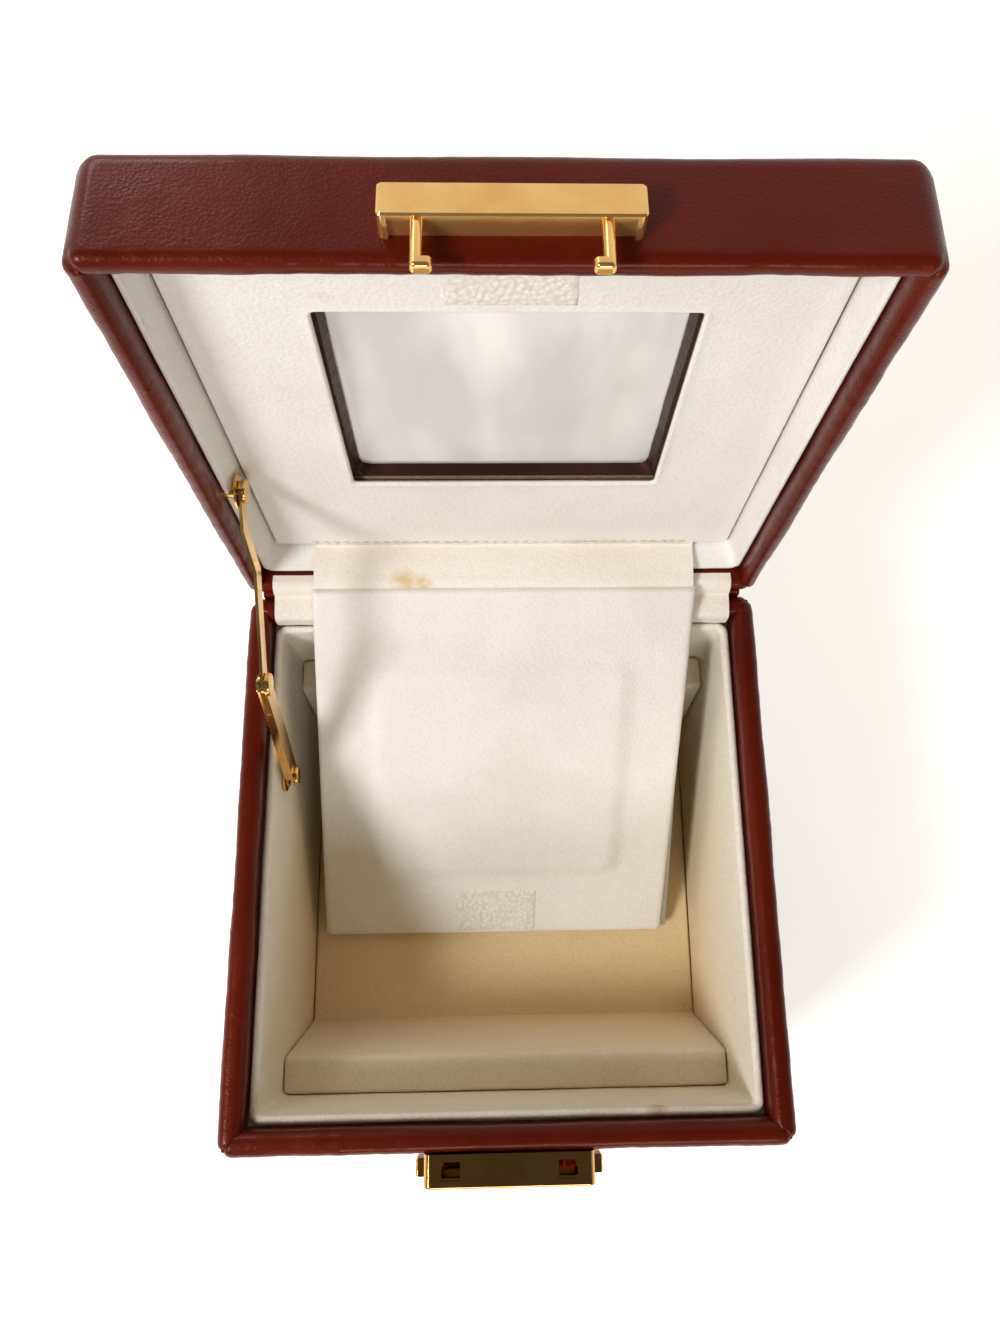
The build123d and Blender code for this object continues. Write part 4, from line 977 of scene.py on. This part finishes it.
def stitch_row(name, spots, direction, up, length, radius, body):
    """A row of short threads that bow up out of the cloth."""
    points, faces = [], []
    direction, up = direction.normalized(), up.normalized()
    across = direction.cross(up)
    rings, around = 7, 6
    for n, centre in enumerate(spots):
        jitter = 0.12 * wave(n * 3.1, 1.0, 2.0, 1.7, 3.0)
        first = len(points)
        for j in range(rings):
            t = j / (rings - 1)
            swell = radius * (0.35 + 0.65 * sin(pi * t))
            rise = 0.9 * radius * sin(pi * t)
            middle = centre + direction * (length * (t - 0.5)) + up * rise
            middle += across * jitter * (t - 0.5)
            for k in range(around):
                a = 2 * pi * k / around
                points.append(middle + across * (swell * cos(a)) + up * (swell * sin(a)))
        for j in range(rings - 1):
            for k in range(around):
                m = (k + 1) % around
                p = first + j * around
                faces.append((p + k, p + m, p + around + m, p + around + k))
        faces.append(tuple(first + k for k in reversed(range(around))))
        faces.append(tuple(first + (rings - 1) * around + k for k in range(around)))
    face_outward(make_piece(name, points, faces, body, thread))


STITCHES, PITCH = 38, 2.5
spots = [
    lid(
        -47.0 + PITCH * n + 0.25 * wave(n, 0, 0, 0.7, 1),
        9.9 + 0.15 * wave(n, 4, 0, 2.3),
        PANEL - 0.12,
    )
    for n in range(STITCHES)
]
stitch_row("strip_stitches", spots, Vector((1, 0, 0)), -V, length=1.5, radius=0.22, body="lid")


def tape_patch(name, place, x0, x1, y0, y1, body, node_name, seed):
    """Hook-and-loop tape: a thin backing under rows of small standing loops."""
    points, faces = [], []
    nx, ny = 46, 28
    for j in range(ny + 1):
        for i in range(nx + 1):
            x, y = x0 + (x1 - x0) * i / nx, y0 + (y1 - y0) * j / ny
            rim = min(i, nx - i, j, ny - j)
            knob = 0.22 * (sin(pi * i / 1.5 + (j % 4) * 0.8) * sin(pi * j / 1.5) + 1) / 2
            pile = 0.34 + (knob if rim > 2 else 0.02) + 0.06 * wave(x, y, 0, 1.1, seed)
            h = 0.02 if rim == 0 else pile
            jag = 0.18 * wave(x, y, 3, 1.0, seed) if rim == 0 else 0.0
            points.append(place(x + jag, y + jag, h))
    row = nx + 1
    for j in range(ny):
        for i in range(nx):
            p = j * row + i
            faces.append((p, p + 1, p + 1 + row, p + row))
    border = [j * row + i for i, j in grid_border(nx + 1, ny + 1)]
    faces.append(tuple(reversed(border)))
    face_outward(
        make_piece(name, points, faces, body, tape, [node_name], sharp=70)
    )


def on_panel(x, u, h):
    """A point h in front of the lid panel's face."""
    return lid(x, u, PANEL - h)


tape_patch("lid_tape", on_panel, -11.5, 11.5, 106.4, 121.3, "lid", "lid_patch", 3.0)
tape_patch("flap_tape", flap_point, -11.4, 11.6, 93.0, 107.0, "flap", "flap_patch", 8.0)

# ------------ cloth gusset between the rims
gusset_corners = [
    side_view(lid(0, 4.75, 3.45)),
    side_view(lid(0, 4.85, 0.9)),
    side_view(lid(0, 2.9, -0.45)),
    (64.95, 100.95),
    (62.3, 100.75),
    (59.0, 99.9),
    (58.85, 95.3),
]
gusset = ribbon(
    "gusset_cloth", rounded_path(gusset_corners, 1.5), half_width=58.3, thick=0.45, across=110,
    material=cream_strip, stands_for=["hinge_gusset"], rough=0.22, seed=11.0,
)
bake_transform(gusset)

# ------------ foot cloth and drawer lining
foot = slab(
    "foot_felt", level_corners(63.5, 63.5, -63.5, 0.0),
    thick=1.0, nu=30, nv=30, edge=0.5, body="base", material=felt,
    stands_for=["base_foot_cloth"], crown=0.0, rough=0.0, seed=2.0,
)

DRAWER_FLOOR, DRAWER_RIM = 7.8, 22.9
cavity_x, cavity_y, cavity_middle = 54.0, 54.6, -3.3


def drawer_station(inset, z, out=0.0):
    """A station that lies inset inside the drawer's cavity."""
    return station(
        cavity_x - inset, z, 0.8, out, middle=cavity_middle, half_y=cavity_y - inset
    )


stations = [drawer_station(0.8, z, out=-1.0) for z in span(DRAWER_FLOOR, DRAWER_RIM, 5)]
stations += [
    drawer_station(0.4, DRAWER_RIM + 0.4),
    drawer_station(0.02, DRAWER_RIM),
    drawer_station(0.02, DRAWER_FLOOR),
]
drawer_walls = shell(
    "drawer_wall_lining", stations, base_place, 40, 4, 31.0, "drawer", cream_lid, ["drawer_lining"]
)
drawer_floor = slab(
    "drawer_floor_pad", level_corners(53.1, -57.0, 50.4, DRAWER_FLOOR),
    thick=1.45, nu=40, nv=40, edge=0.7, body="drawer", material=cream_lid,
    stands_for=["drawer_lining"], crown=0.2, rough=0.10, seed=17.0,
)

# ------------ carried-over CAD nodes
finishes = {
    brass: [
        "lock_case", "lock_back_plate", "lock_rivets", "catch_left", "catch_right",
        "catch_spring", "drawer_knob", "drawer_screw",
    ],
    brass_bar: ["lock_bar", "hook_left", "hook_right", "bar_rivets"],
    brass_stay: [
        "stay_upper_arm", "stay_lower_arm", "stay_knee_rivet", "stay_lid_pivot",
        "stay_base_pivot",
    ],
    fibreboard: [
        "base_carcass", "lid_carcass", "drawer_box", "drawer_front", "runner_left",
        "runner_right", "drawer_stop",
    ],
    grey_card: ["flap_board"],
}
for material, names in finishes.items():
    for node_name in names:
        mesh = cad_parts[node_name].data
        mesh.materials.clear()
        mesh.materials.append(material)

# ------------ floor, light and camera
FLOOR_GLOW = 0.58  # makes the floor pale where it is seen, with no more light on the box
floor_mat, tree, shader = new_material("floor_white")
rays = add_node(tree, "ShaderNodeLightPath")
visible = math_node(
    tree, "MAXIMUM", rays.outputs["Is Camera Ray"], rays.outputs["Is Transmission Ray"]
)
visible = math_node(tree, "MAXIMUM", visible, rays.outputs["Is Glossy Ray"])
fill(
    tree, shader, Base_Color=(0.86, 0.86, 0.86, 1), Roughness=0.9, Emission_Color=(1, 1, 1, 1),
    Emission_Strength=math_node(tree, "MULTIPLY", visible, FLOOR_GLOW),
)
size = 4.0
mesh = bpy.data.meshes.new("floor")
mesh.from_pydata(
    [(-size, -size, 0), (size, -size, 0), (size, size, 0), (-size, size, 0)], [], [(0, 1, 2, 3)]
)
mesh.materials.append(floor_mat)
ground = bpy.data.objects.new("floor", mesh)
bpy.context.scene.collection.objects.link(ground)

world = bpy.data.worlds.new("studio")
bpy.context.scene.world = world
world.use_nodes = True
tree = world.node_tree
background = tree.nodes["Background"]
rays = add_node(tree, "ShaderNodeLightPath")
mirrored = math_node(
    tree, "MAXIMUM", rays.outputs["Is Glossy Ray"], rays.outputs["Is Transmission Ray"]
)
sky = add_node(tree, "ShaderNodeTexCoord")
split = add_node(tree, "ShaderNodeSeparateXYZ")
tree.links.new(sky.outputs["Generated"], split.inputs[0])
# in reflections the studio is white, with a dim ceiling over the box and in front of it
ahead = math_node(
    tree, "SUBTRACT", split.outputs["Z"], math_node(tree, "MULTIPLY", split.outputs["Y"], 0.8)
)
walls = remap(tree, ahead, 0.0, 0.80, 1.0, 0.06)
direct = math_node(tree, "MAXIMUM", rays.outputs["Is Camera Ray"], mirrored)
# the light that it scatters is warm, and stronger from the left
scattered = math_node(tree, "SUBTRACT", 1.0, direct)
side_light = remap(tree, split.outputs["X"], -1.0, 1.0, 0.38, 0.24)
seen = math_node(
    tree, "MAXIMUM", rays.outputs["Is Camera Ray"], math_node(tree, "MULTIPLY", mirrored, walls)
)
lit = math_node(tree, "MULTIPLY", scattered, side_light)
tree.links.new(math_node(tree, "MAXIMUM", seen, lit), background.inputs["Strength"])
warm, white = (1.0, 0.78, 0.52), (1.0, 1.0, 1.0)
tree.links.new(mix_colour(tree, direct, warm, white), background.inputs["Color"])


def lamp(name, place, target, size, power, colour=(1, 1, 1)):
    """A soft area lamp of this size in metres that points at a target."""
    data = bpy.data.lights.new(name, "AREA")
    data.shape, data.size, data.size_y = "RECTANGLE", *size
    data.energy, data.color = power, colour
    made = bpy.data.objects.new(name, data)
    bpy.context.scene.collection.objects.link(made)
    made.location = place
    made.rotation_euler = (Vector(target) - Vector(place)).to_track_quat("-Z", "Y").to_euler()


lamp("key", (-0.62, -0.42, 0.84), (0, 0.02, 0.1), size=(0.26, 0.26), power=7.6)
lamp(
    "room", (0.10, -0.92, 0.50), (0, 0.05, 0.14), size=(0.5, 0.3), power=2.8,
    colour=(0.98, 0.99, 1.0),
)
lamp("back", (-0.42, 0.82, 0.72), (0, 0, 0.12), size=(0.30, 0.22), power=1.3)

scene = bpy.context.scene
scene.view_settings.view_transform = "Standard"
# the photograph's camera, solved from the corners of the box; lengths are in its pixels
PHOTO_WIDE, PHOTO_HIGH = 1000, 1333
FOCAL, CENTRE_X, CENTRE_Y = 1059.4, 525.6, 605.4
SENSOR = 24.0
EYE = (-0.00368, -0.01974, 0.36031)
tilt, yaw, roll = radians(17.58), radians(6.53), radians(5.84)
look = Matrix(((1, 0, 0), (0, -cos(tilt), -sin(tilt)), (0, sin(tilt), -cos(tilt))))
turn_yaw = Matrix(((cos(yaw), -sin(yaw), 0), (sin(yaw), cos(yaw), 0), (0, 0, 1)))
turn_roll = Matrix(((cos(roll), -sin(roll), 0), (sin(roll), cos(roll), 0), (0, 0, 1)))
aim = turn_roll @ look @ turn_yaw
camera_data = bpy.data.cameras.new("camera")
camera_data.sensor_fit = "VERTICAL"
camera_data.sensor_height = SENSOR
camera_data.lens = SENSOR * FOCAL / PHOTO_HIGH
camera_data.shift_x = (PHOTO_WIDE / 2 - CENTRE_X) / PHOTO_HIGH
camera_data.shift_y = (CENTRE_Y - PHOTO_HIGH / 2) / PHOTO_HIGH
camera_data.clip_start = 0.01
camera = bpy.data.objects.new("camera", camera_data)
scene.collection.objects.link(camera)
camera.matrix_world = Matrix(
    (
        (aim[0][0], -aim[1][0], -aim[2][0], EYE[0]),
        (aim[0][1], -aim[1][1], -aim[2][1], EYE[1]),
        (aim[0][2], -aim[1][2], -aim[2][2], EYE[2]),
        (0, 0, 0, 1),
    )
)
scene.camera = camera
